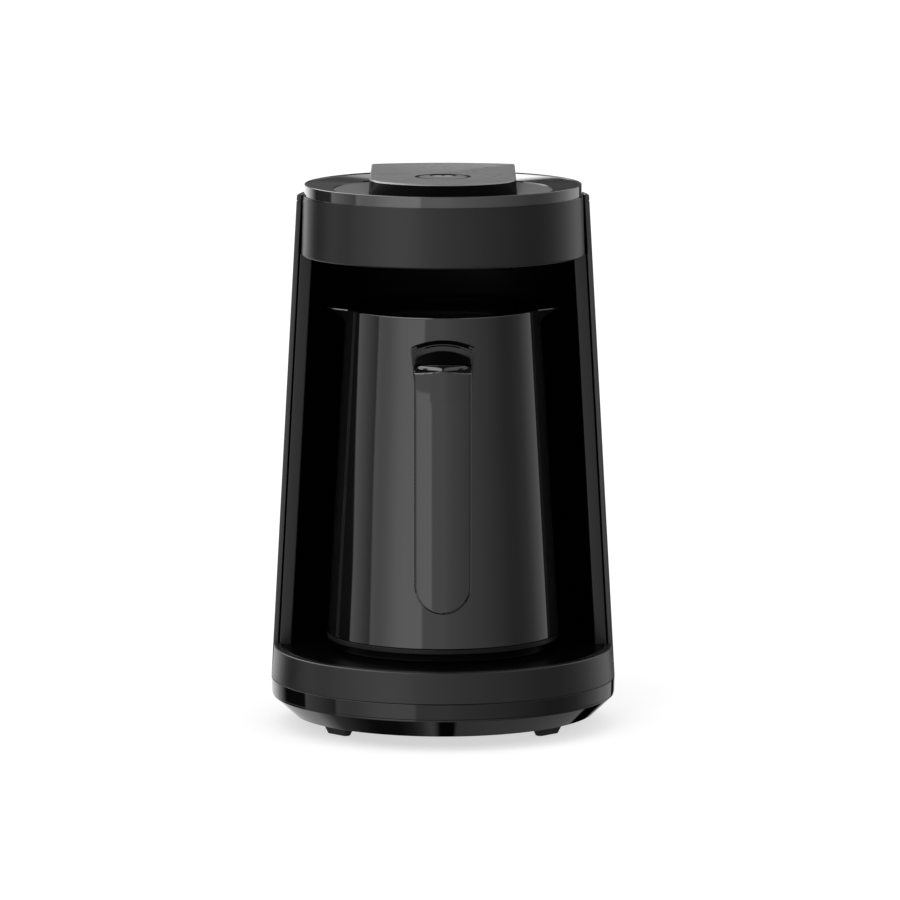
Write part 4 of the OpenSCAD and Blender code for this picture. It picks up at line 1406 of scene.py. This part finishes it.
@dataclass
class PushButton(Assembly):
    """Push button with its inner disc and a plain power mark."""

    body: Body = Body.BUTTON
    radius: float = 12.1
    disc: float = 5.9
    sunk: float = 0.06
    # Width of the cap's outer ring that is painted black as shade in the gap round the button.
    border: float = 1.2
    mark_r: float = 6.2
    mark_w: float = 1.2
    mark_y: float = -17.8
    mark_deep: float = 0.35

    def build(self) -> None:
        """Makes and places the pieces of the button."""
        top, r, d = LEVELS.pod_top - self.sunk, self.radius, self.disc
        cap = rounded([
            (0.0, top - 2.3), (r, top - 2.3, 0.2), (r, top, 0.1), (r - self.border, top),
            (d + 0.15, top), (d + 0.1, top - 0.6), (0.0, top - 0.6),
        ])
        disc = [(0.0, top - 0.8), (d, top - 0.8), (d, top), (0.0, top)]
        for name, outline, steps, slot, node in (
            ("push_button", cap, 128, "button_satin", "button_cap"),
            ("button_disc_face", disc, 96, "icon_grey", "button_icon"),
        ):
            piece = turned(name, outline, steps, (0.0, BUTTON_Y))
            hollow = post(self.mark_r, top - self.mark_deep, top + 1, (0.0, self.mark_y), 96)
            self.settle(cut(piece, hollow), slot, node)
            self.second_finish(piece, "mark_black", self._dark)
        self._mark(top - self.mark_deep)

    def _dark(self, at: Vector, way: Vector) -> bool:
        """Tells whether a face is the mark's wall, or the cap's border and side, painted black as
        shade in the gap round the button.

        Args:
            at: Its middle.
            way: Its normal.

        Returns:
            Whether it is dark.
        """
        # Painted shade: the border ring and the cap's side turn black.
        if math.hypot(at.x, at.y - BUTTON_Y) > self.radius - self.border:
            return True
        return abs(way.z) < 0.5 and math.hypot(at.x, at.y - self.mark_y) < self.mark_r + 0.1

    def _mark(self, top: float) -> None:
        """Plain power mark in the button's rear half: a ring, its field and a bar.

        Args:
            top: Height of the hollow's floor.
        """
        y, r, w, half = self.mark_y, self.mark_r, self.mark_w, self.mark_w * 0.6
        low, high = top - 0.2, top + 0.05
        flat = [(0.0, low), (r - w, low), (r - w, high - 0.03), (0.0, high - 0.03)]
        field = turned("power_field", flat, 72, (0.0, y))
        self.settle(field, "icon_grey", finish="mark_light")
        flat = [(r - w, low), (r, low), (r, high), (r - w, high)]
        ring = turned("power_ring", flat, 96, (0.0, y))
        self.settle(ring, "icon_grey", finish="mark_black")
        ends = (-half, y + 0.5), (half, y + r - w / 2)
        bar = lofted("power_bar", [oblong(*ends, half * 0.9, z) for z in (low, high)])
        self.settle(bar, "icon_grey", finish="mark_black")


@dataclass
class Jug(Assembly):
    """Jug with two pouring lips, its steel pot and foot."""

    body: Body = Body.JUG
    wall: float = 2.0
    rim_in: float = 40.95
    lip_reach: float = 53.8
    lip_depth: float = 6.2
    lip_half: float = 11.0
    lip_wall: float = 1.3
    lip_nose: float = 0.02
    lip_widen: float = 0.55
    lip_grow: float = 1.1
    beside: float = 9.0
    blend: float = 0.5
    wall_rings: Flat = (90.0, 140.0)
    pot_low: float = 77.1
    pot_top: float = 186.7
    pot_in: float = 4.2
    fill_line: float = 168.0
    notch_half: float = 8.0
    seat_r: float = 3.2
    seat_ring: float = 40.0

    def build(self) -> None:
        """Makes and places the pieces of the jug."""
        self._shell()
        self._pot()
        self._foot()

    def _lip(self, angle: float, share: float) -> float:
        """Returns how far the pouring lips stand out in a direction.

        Args:
            angle: Direction in plan.
            share: Share of the lip's full width and reach, 0 to 1.

        Returns:
            The distance past the round wall, below 0 beside the lip.
        """
        off = math.atan2(abs(math.sin(angle)), abs(math.cos(angle)))
        edge = self.lip_half * max(share, 0.02) ** self.lip_widen / JUG.radius(LEVELS.jug_top)
        run = (math.hypot(off, self.lip_nose) - self.lip_nose * 0.5) / edge
        if run > 1:
            return -min(self.beside, self.beside * (run - 1))
        return (self.lip_reach - JUG.radius(LEVELS.jug_top)) * share * (1 - run)

    def _shell(self) -> None:
        """Outer wall with both lips, the rim and the inner zone above the pot."""
        top, low, soft, grow = LEVELS.jug_top, LEVELS.pot_rim, 0.5, self.lip_grow
        lips, rim, steps = self.lip_depth, self.rim_in, 720

        def ring(z: float, base: float, share: float = 0.0, inset: float = 0.0) -> list[Point]:
            """Returns the wall's plan at a height with the lips blended in.

            Args:
                z: The height.
                base: Radius beside the lips.
                share: Share of the lips, 0 to 1.
                inset: How far it is drawn in from the lips' faces.

            Returns:
                The closed plan.
            """
            found = []
            for i in range(steps):
                a = math.tau * i / steps
                out = self._lip(a, share) - inset * 0.3 if share > 0 else -self.beside
                r = base + (out + math.sqrt(out * out + self.blend)) / 2 - 0.02
                found.append((*polar(r, a), z))
            return found

        levels = (LEVELS.jug_foot, *self.wall_rings)
        rings = [ring(z, JUG.radius(z)) for z in (*levels, top - lips - 1)]
        for k in range(13):
            z = top - lips + (lips - soft) * k / 12
            rings.append(ring(z, JUG.radius(z), (k / 12) ** grow))
        rings += [
            ring(z, base, 1.0, inset)
            for z, base, inset in (
                (top - 0.15, JUG.radius(top) - 0.12, 0.12), (top, JUG.radius(top) - 0.5, 0.5),
                (top, rim + 0.6, self.lip_wall - 0.3), (top - 0.2, rim + 0.15, self.lip_wall),
            )
        ]
        for k in range(9, -1, -1):
            z = top - lips + 1.2 + (lips - 1.8) * k / 9
            rings.append(ring(z, rim, (k / 9) ** grow, self.lip_wall))
        rings.append(ring(low, rim))
        rings += [ring(z, JUG.radius(z) - self.wall) for z in (low, *levels[::-1])]
        half = self.notch_half
        notch = slab((-half, 0.0, LEVELS.jug - 2), (half, 60.0, LEVELS.notch))
        shell = cut(lofted("jug_outer", rings, loop=True), notch)
        self.settle(shell, "jug_anthracite", "jug_shell")

        def inside(at: Vector, way: Vector) -> bool:
            """Tells whether a face looks into the jug or lies on the rim's inner part.

            Args:
                at: Its middle.
                way: Its normal.

            Returns:
                Whether it is inside.
            """
            out = math.hypot(at.x, at.y)
            if at.z > top - 0.3 and abs(way.z) > 0.7:
                return out < JUG.radius(top) - 0.6
            return at.z > low - 1 and way.x * at.x + way.y * at.y < -0.1 * out

        self.second_finish(shell, "jug_inside", inside)

    def _pot(self) -> None:
        """Steel pot with a rounded floor, a flat lip and a raised fill line."""
        z0, z1, mark = self.pot_low, self.pot_top, self.fill_line

        def inner(z: float) -> float:
            """Returns the pot's inner radius at a height."""
            return JUG.radius(z) - self.pot_in

        outline = rounded([
            (0.0, z0), (inner(z0) + 1, z0, 4), (inner(z1) + 1, z1 - 1), (inner(z1) + 2, z1 - 1),
            (inner(z1) + 2, z1), (inner(z1), z1, 0.5), (inner(mark + 0.2), mark + 0.2, 0.2),
            (inner(mark) - 0.35, mark - 0.1, 0.3), (inner(mark - 0.6), mark - 0.6, 0.2),
            (inner(z0), z0 + 1, 4), (0.0, z0 + 1),
        ])
        self.settle(turned("steel_pot", outline, 224), "pot_steel", "jug_pot")

    def _foot(self) -> None:
        """Black foot ring and floor with the open connector channel."""
        z0, z1, r, out = LEVELS.jug, LEVELS.jug_foot, JUG.foot_r, JUG.radius(LEVELS.jug_foot)
        outline = rounded([
            (0.0, z0 + 0.4), (r - 5, z0 + 0.4, 0.2), (r - 4.6, z0, 0.2), (r, z0, 0.7),
            (out - 0.05, z1 - 0.5, 0.2), (out - 2.2, z1 - 0.2), (out - 2.4, z1 + 6),
            (out - self.pot_in, z1 + 6), (out - self.pot_in, z0 + 2.2), (0.0, z0 + 2.2),
        ])
        half = self.notch_half
        foot = cut(
            turned("jug_foot_ring", outline, 224),
            slab((-half, -15.0, z0 - 2), (half, 60.0, LEVELS.notch)),
            *seats(self.seat_r, z0 - 1, z0 + 3, self.seat_ring, (30, 150, 270)),
        )
        self.settle(foot, "jug_black", "jug_base")


@dataclass
class Handle(Assembly):
    """Jug handle: arched collar, the neck painted near-black as shade in the hollow, and the grip.
    """

    body: Body = Body.JUG
    half: float = 12.85
    reach: float = 76.5
    back: float = 65.5
    top: float = 175.0
    low: float = 62.7
    crown: float = 31.5
    roll_h: float = 18.0
    roll: float = 0.0115
    apex: float = 173.2
    fall: float = 0.42
    fold: Flat = (1.44, 0.16)
    fold_reach: float = 13.0
    fine_h: float = 14.0  # height under the apex from where the rings lie closer
    soft: float = 1.1
    soft_back: float = 2.5
    rise: float = 3.4
    shoulder: float = 3.2
    collar_half: float = 14.6
    collar_top: float = 183.5
    collar_low: float = 159.5
    collar_front: float = 49.9
    neck_low: float = 155.0
    neck: tuple[Point, ...] = (
        (46.0, 179.3, 12.3), (52.0, 179.0, 12.4), (60.0, 177.0, 12.6), (67.5, 174.6, 12.6),
    )

    def build(self) -> None:
        """Makes and places the pieces of the handle."""
        self._grip()
        self._collar()
        # The neck is painted near-black: painted shade in the hollow under the collar.
        rings = []
        for y, top, half in self.neck:
            plan = self._arch(half, half, self.neck_low, top)
            rings.append([(x, -y, z) for x, z in plan])
        self.settle(lofted("handle_neck", rings), "handle_inner")

    def _lip(self, x: float, z: float, soft: float) -> float:
        """Returns how far the grip's rounded edge falls back.

        Args:
            x: Place across the grip.
            z: Height.
            soft: Radius of the edge.

        Returns:
            The distance.
        """
        centre = self.low + self.half
        side = self.half - abs(x) if z > centre else self.half - math.hypot(x, z - centre)
        edge = max(0.0, soft - max(min(side, self.top - z + 0.02), 0.0))
        return soft - math.sqrt(max(0.0, soft**2 - edge * edge))

    def _front(self, x: float, z: float) -> float:
        """Returns the distance of the grip's front from the jug's axis.

        Args:
            x: Place across the grip.
            z: Height.

        Returns:
            The distance along -Y.
        """
        crown = self.crown - math.sqrt(self.crown**2 - x * x)
        up, far = z - self.apex, math.hypot(x, z - self.apex)
        turn = math.acos(max(-1.0, min(1.0, -up / far))) if far > 1e-6 else 0.0
        t = max(0.0, min(1.0, (turn - self.fold[0]) / self.fold[1]))
        roof = self.fall * t * t * (3 - 2 * t) * min(far, self.fold_reach)
        lean = self.roll * max(0.0, up + self.roll_h) ** 2 / 2
        return self.reach - crown - roof - lean - self._lip(x, z, self.soft)

    def _grip(self) -> None:
        """Crowned grip with a half-round lower end and a folded top."""
        centre, bend = self.low + self.half, self.apex - self.fine_h
        heights = [centre - self.half * math.cos(math.pi / 2 * i / 28) for i in range(28)]
        heights += [centre + (bend - centre) * i / 12 for i in range(13)]
        heights += [bend + (self.top - bend) * i / 40 for i in range(1, 41)]
        heights[0] += 0.004
        across = [math.sin(math.pi / 2 * (i / 32 - 1)) for i in range(65)]
        rings = []
        for z in heights:
            h = self.half if z > centre else math.sqrt(max(0.0, self.half**2 - (z - centre) ** 2))
            ring = [(h * s, -self._front(h * s, z), z) for s in across]
            for s in across[::-1]:
                ring.append((h * s, -(self.back + self._lip(h * s, z, self.soft_back)), z))
            rings.append(ring)
        grip = lofted("handle_grip_body", rings, crease=50)
        self.settle(grip, "handle_satin", "handle_grip", "handle_cover")

    def _arch(self, half: float, low_half: float, low: float, high: float) -> list[Flat]:
        """Returns an arched outline that narrows towards its foot.

        Args:
            half: Half width at the shoulders.
            low_half: Half width at the foot.
            low: Height of the foot.
            high: Height of the crown.

        Returns:
            The closed outline.
        """
        radius = (half * half + self.rise * self.rise) / (2 * self.rise)
        corners: list[Corner] = [(-low_half, low, 0.5), (low_half, low, 0.5)]
        for i in range(25):
            x = half * (1 - 2 * i / 24)
            z = high - radius + math.sqrt(radius * radius - x * x)
            corners.append((x, z, self.shoulder if i in (0, 24) else 0.0))
        return rounded(corners, 8)

    def _collar(self) -> None:
        """Arched collar with a rounded outer edge and a stepped face."""
        y1, top, ledge = self.collar_front, self.collar_top, self.collar_front - 2.0
        rings = []
        for y, inset in (
            (44.0, 0.0), (ledge - 0.3, 0.0), (ledge, 0.2), (ledge, 1.0), (y1 - 0.6, 1.1),
            (y1 - 0.3, 1.3), (y1 - 0.3, 1.65), (y1 - 1.0, 1.7), (y1 - 1.0, 2.1), (y1, 2.2),
            (y1, 5.5), (y1 - 0.3, 5.7), (y1 - 3.0, 5.8),
        ):
            half, foot = self.collar_half - inset * 0.55, self.half - 0.2 - inset * 0.3
            plan = self._arch(half, foot, self.collar_low, top - inset)
            rings.append([(x, -y, z) for x, z in plan])
        collar = lofted("handle_collar_arch", rings)
        self.settle(collar, "collar_satin", "handle_collar")
        # The collar's top edge against the jug is painted near-black: painted shade along the
        # groove.
        self.second_finish(
            collar, "handle_inner", lambda at, way: at.z > 180.4 and -at.y < ledge + 1.6
        )


@dataclass
class InnerParts:
    """The carried-over CAD nodes, which keep their shape and get finishes."""

    nodes: dict[str, bpy.types.Object]
    slots: dict[str, str]

    def dress(self) -> None:
        """Gives every carried-over node its slot's finish."""
        for name, thing in self.nodes.items():
            material = FINISHES[self.slots[name]].material()
            if not thing.material_slots:
                thing.data.materials.append(material)
            for place in thing.material_slots:
                place.material = material
            LOG.info("%s carried over with %s", name, material.name)


# -------------------------------------------------------------------- studio


@dataclass
class Surroundings:
    """Soft boxes and dark zones that only glossy surfaces show.

    Bearings run from the camera's side, 0, to the right, 90, and behind, 180. Other
    places are a direction's x to the right, y to the rear or z up. The stops pair a
    place with the level there.
    """

    board: Board
    # Soft boxes round the object by bearing, and how far they are turned low down.
    brightest: float = 1.5
    boxes: tuple[Flat, ...] = (
        (-180, 0.75), (-154, 1.0), (-146, 0.65), (-138, 0.3), (-131, 0.06), (-127, 0.0),
        (-116, 0.0), (-115.5, 0.7), (-96, 0.5), (-81, 0.26), (-80, 0.88), (-72, 0.79),
        (-64, 0.87), (-48, 1.34), (-40, 1.43), (-21.5, 1.47), (-20.5, 0.81), (0, 0.79),
        (8, 0.66), (24, 0.55), (40, 0.45), (56, 0.32), (72, 0.19), (84, 0.175), (98, 0.25),
        (112, 0.46), (130, 0.68), (153, 0.52), (154, 0.0), (163, 0.0), (164, 0.3), (180, 0.5),
    )
    low_shift: tuple[Flat, ...] = (
        (-math.pi, 0.425), (-2.44, 0.425), (-2.276, 0.08), (-1.9, 0.72), (-1.8, 0.76),
        (-1.5, 0.45), (-0.3, 0.375), (math.pi, 0.375),
    )
    high_level: float = 0.85
    # Share of the boxes by height, ahead of the object and behind it.
    rise: tuple[Flat, ...] = (
        (-1.0, 0.9), (-0.2, 1.0), (0.4, 1.0), (0.6, 0.5), (0.75, 0.04), (1.0, 0.02),
    )
    rise_behind: tuple[Flat, ...] = (
        (-1.0, 1.0), (0.016, 1.0), (0.03, 0.3), (0.04, 0.09), (0.05, 0.09), (0.062, 0.16),
        (0.2, 0.2), (0.6, 0.1), (1.0, 0.02),
    )
    behind: Flat = (0.8, 0.95)
    # A low glow behind the object, light from above on both sides, and what lies below.
    rear_glow: tuple[Flat, ...] = (
        (-0.2, 0.2), (-0.008, 0.2), (0.008, 1.0), (0.032, 1.0), (0.042, 0.0), (0.2, 0.0),
    )
    rear_edge: Flat = (0.0388, 0.0455)
    high_left: float = 3.0
    high_right: float = 0.28
    below: tuple[Flat, ...] = (
        (-1.0, 0.03), (-0.2, 0.02), (-0.14, 0.08), (-0.1, 0.2), (-0.05, 0.5), (-0.03, 0.25),
        (-0.015, 0.0), (0.052, 0.0), (0.06, 0.32), (0.2, 0.36), (0.45, 0.3), (1.0, 0.3),
    )
    below_left: Flat = (0.18, 0.75)

    def __post_init__(self) -> None:
        """Splits the direction into x, y and z."""
        place = self.board.node("ShaderNodeTexCoord").outputs["Generated"]
        split = self.board.node("ShaderNodeSeparateXYZ", {"Vector": place})
        self.x, self.y, self.z = (split.outputs[k] for k in "XYZ")

    def level(self) -> bpy.types.NodeSocket:
        """Joins what lies beside, above and below the object."""
        upper = self.board.sums("ADD", self._beside(), self._above())
        return self.board.span(self.z, -0.36, -0.3, self._under(), upper)

    def _beside(self) -> bpy.types.NodeSocket:
        """Wires the soft boxes round the object.

        Returns:
            Their level.
        """
        span, sums, ramp, z = self.board.span, self.board.sums, self.board.ramp, self.z
        bearing = sums("ARCTAN2", self.x, sums("MULTIPLY", self.y, -1.0))
        shift = ramp(bearing, -math.pi, math.pi, self.low_shift)
        shift = span(z, -0.09, -0.055, sums("MULTIPLY_ADD", shift, -20.0, 5.0), 0.0)
        turn = sums("MULTIPLY_ADD", bearing, 180 / math.pi, shift)
        stops = [(at, level / self.brightest) for at, level in self.boxes]
        boxes = sums("MULTIPLY", ramp(turn, -180.0, 180.0, stops), self.brightest)
        boxes = sums("MINIMUM", boxes, span(z, 0.03, 0.06, self.brightest, self.high_level))
        ahead, behind = (ramp(z, -1.0, 1.0, stops) for stops in (self.rise, self.rise_behind))
        return sums("MULTIPLY", boxes, span(self.y, *self.behind, ahead, behind))

    def _above(self) -> bpy.types.NodeSocket:
        """Wires the light from above and the low glow behind the object.

        Returns:
            Their level.
        """
        span, sums, x, z = self.board.span, self.board.sums, self.x, self.z
        left = span(x, -0.32, -0.15, 1.0, 0.0)
        side = sums("ADD", left, span(x, 0.2, 0.4, 0.0, self.high_right))
        sky = sums("MULTIPLY", span(z, 0.3, 0.42, 0.0, self.high_left), side)
        sky = sums("MULTIPLY", sky, span(z, 0.86, 0.95, 1.0, 0.0))
        edge = span(x, -0.005, 0.005, *self.rear_edge)
        glow = self.board.ramp(x, -0.2, 0.2, self.rear_glow)
        glow = sums("MULTIPLY", span(z, 0.037, edge, self.brightest, 0.0), glow)
        glow = sums("MULTIPLY", glow, span(self.y, *self.behind, 0.0, 1.0))
        return sums("MAXIMUM", glow, sky)

    def _under(self) -> bpy.types.NodeSocket:
        """Wires what lies below, on the left and on the right.

        Returns:
            Its level.
        """
        span, x, z, (near, far) = self.board.span, self.x, self.z, self.below_left
        deep = self.board.ramp(x, -1.0, 1.0, self.below)
        left = span(z, -0.74, -0.64, span(z, -0.88, -0.74, deep, near), far)
        right = self.board.sums("MULTIPLY", deep, span(z, -0.55, -0.53, 1.0, 0.0))
        return span(x, -0.001, 0.001, left, right)


@dataclass
class Studio:
    """Pale floor, plain soft light and the camera."""

    camera_at: Point = (3.2, -2770.0, 517.0)
    aim: Point = (3.2, 0.0, 127.0)
    lens: float = 242.7
    fill: float = 0.55
    floor_half: float = 30.0
    floor_glow: float = 0.62
    # Name, bearing, height, power and angle of each lamp.
    lamps: tuple[tuple[str, float, float, float, float], ...] = (
        ("key", -40.0, 48.0, 0.9, 50.0), ("side", 50.0, 40.0, 0.45, 60.0),
        ("top", 160.0, 75.0, 0.45, 70.0),
    )

    def build(self) -> None:
        """Makes the floor, the world, the lamps and the camera."""
        self._camera()
        self._world()
        self._floor()
        self._lamps()
        bpy.context.scene.view_settings.view_transform = "Standard"

    def _camera(self) -> None:
        """A long lens, a little above the object."""
        data = bpy.data.cameras.new("camera")
        data.lens, data.sensor_width = self.lens, 36.0
        data.clip_start, data.clip_end = 0.1, 200.0
        camera = linked("camera", data)
        camera.location = Vector(self.camera_at) * MM
        look = (Vector(self.aim) - Vector(self.camera_at)) * MM
        camera.rotation_euler = look.to_track_quat("-Z", "Y").to_euler()
        bpy.context.scene.camera = camera

    def _world(self) -> None:
        """White behind the object, plain grey light, and soft boxes for gloss."""
        world = bpy.data.worlds.new("studio")
        world.use_nodes = True
        world.cycles.sampling_method = "NONE"
        bpy.context.scene.world = world
        world.node_tree.nodes.clear()
        board = Board(world.node_tree)
        path = board.node("ShaderNodeLightPath").outputs
        last = None
        for share, level in (
            (None, self.fill),
            (path["Is Glossy Ray"], Surroundings(board).level()),
            (board.sums("MAXIMUM", path["Is Camera Ray"], path["Is Transmission Ray"]), 1.0),
        ):
            feeds = {"Color": (1, 1, 1, 1), "Strength": level}
            shade = board.node("ShaderNodeBackground", feeds).outputs[0]
            if last is not None:
                feeds = {"Fac": share, 1: last, 2: shade}
                shade = board.node("ShaderNodeMixShader", feeds).outputs[0]
            last = shade
        board.node("ShaderNodeOutputWorld", {"Surface": last})

    def _floor(self) -> None:
        """Pale floor that shows white to the camera and keeps the shadow."""
        h = self.floor_half
        mesh = bpy.data.meshes.new("floor")
        mesh.from_pydata([(-h, -h, 0), (h, -h, 0), (h, h, 0), (-h, h, 0)], [], [(0, 1, 2, 3)])
        material = bpy.data.materials.new("pale_floor")
        material.use_nodes = True
        nodes, board = material.node_tree.nodes, Board(material.node_tree)
        path = board.node("ShaderNodeLightPath").outputs
        board.feed(nodes["Principled BSDF"], {
            "Base Color": (0.5, 0.5, 0.5, 1),
            "Roughness": 1.0,
            "Specular IOR Level": 0.0,
            "Emission Color": (1, 1, 1, 1),
            "Emission Strength": board.sums("MULTIPLY", path["Is Camera Ray"], self.floor_glow),
        })
        back = board.node("ShaderNodeNewGeometry").outputs["Backfacing"]
        mix = board.node("ShaderNodeMixShader", {
            "Fac": board.sums("MAXIMUM", path["Is Glossy Ray"], back),
            1: nodes["Principled BSDF"].outputs[0],
            2: board.node("ShaderNodeBsdfTransparent").outputs[0],
        })
        board.feed(nodes["Material Output"], {"Surface": mix.outputs[0]})
        mesh.materials.append(material)
        linked("floor", mesh)

    def _lamps(self) -> None:
        """Three wide soft lamps: key, side and top."""
        for name, bearing, height, power, angle in self.lamps:
            data = bpy.data.lights.new(name, "SUN")
            data.energy, data.angle = power, math.radians(angle)
            lamp = linked(name, data)
            a, e = math.radians(bearing), math.radians(height)
            towards = Vector((math.sin(a) * math.cos(e), -math.cos(a) * math.cos(e), math.sin(e)))
            lamp.location = towards * 3
            lamp.rotation_euler = (-towards).to_track_quat("-Z", "Y").to_euler()
            lamp.visible_glossy = False


def main() -> None:
    """Builds the sub-assemblies in order."""
    logging.basicConfig(level=logging.INFO, format="%(name)s: %(message)s")
    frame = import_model()
    Studio().build()
    slots = {s["node"]: s["material_slot"] for s in frame["record"]["subparts"]}
    InnerParts(frame["nodes"], slots).dress()
    for part in (BaseUnit(), RearHousing(), Head(), PushButton(), Jug(), Handle()):
        part.build()


if __name__ == "__main__":
    main()
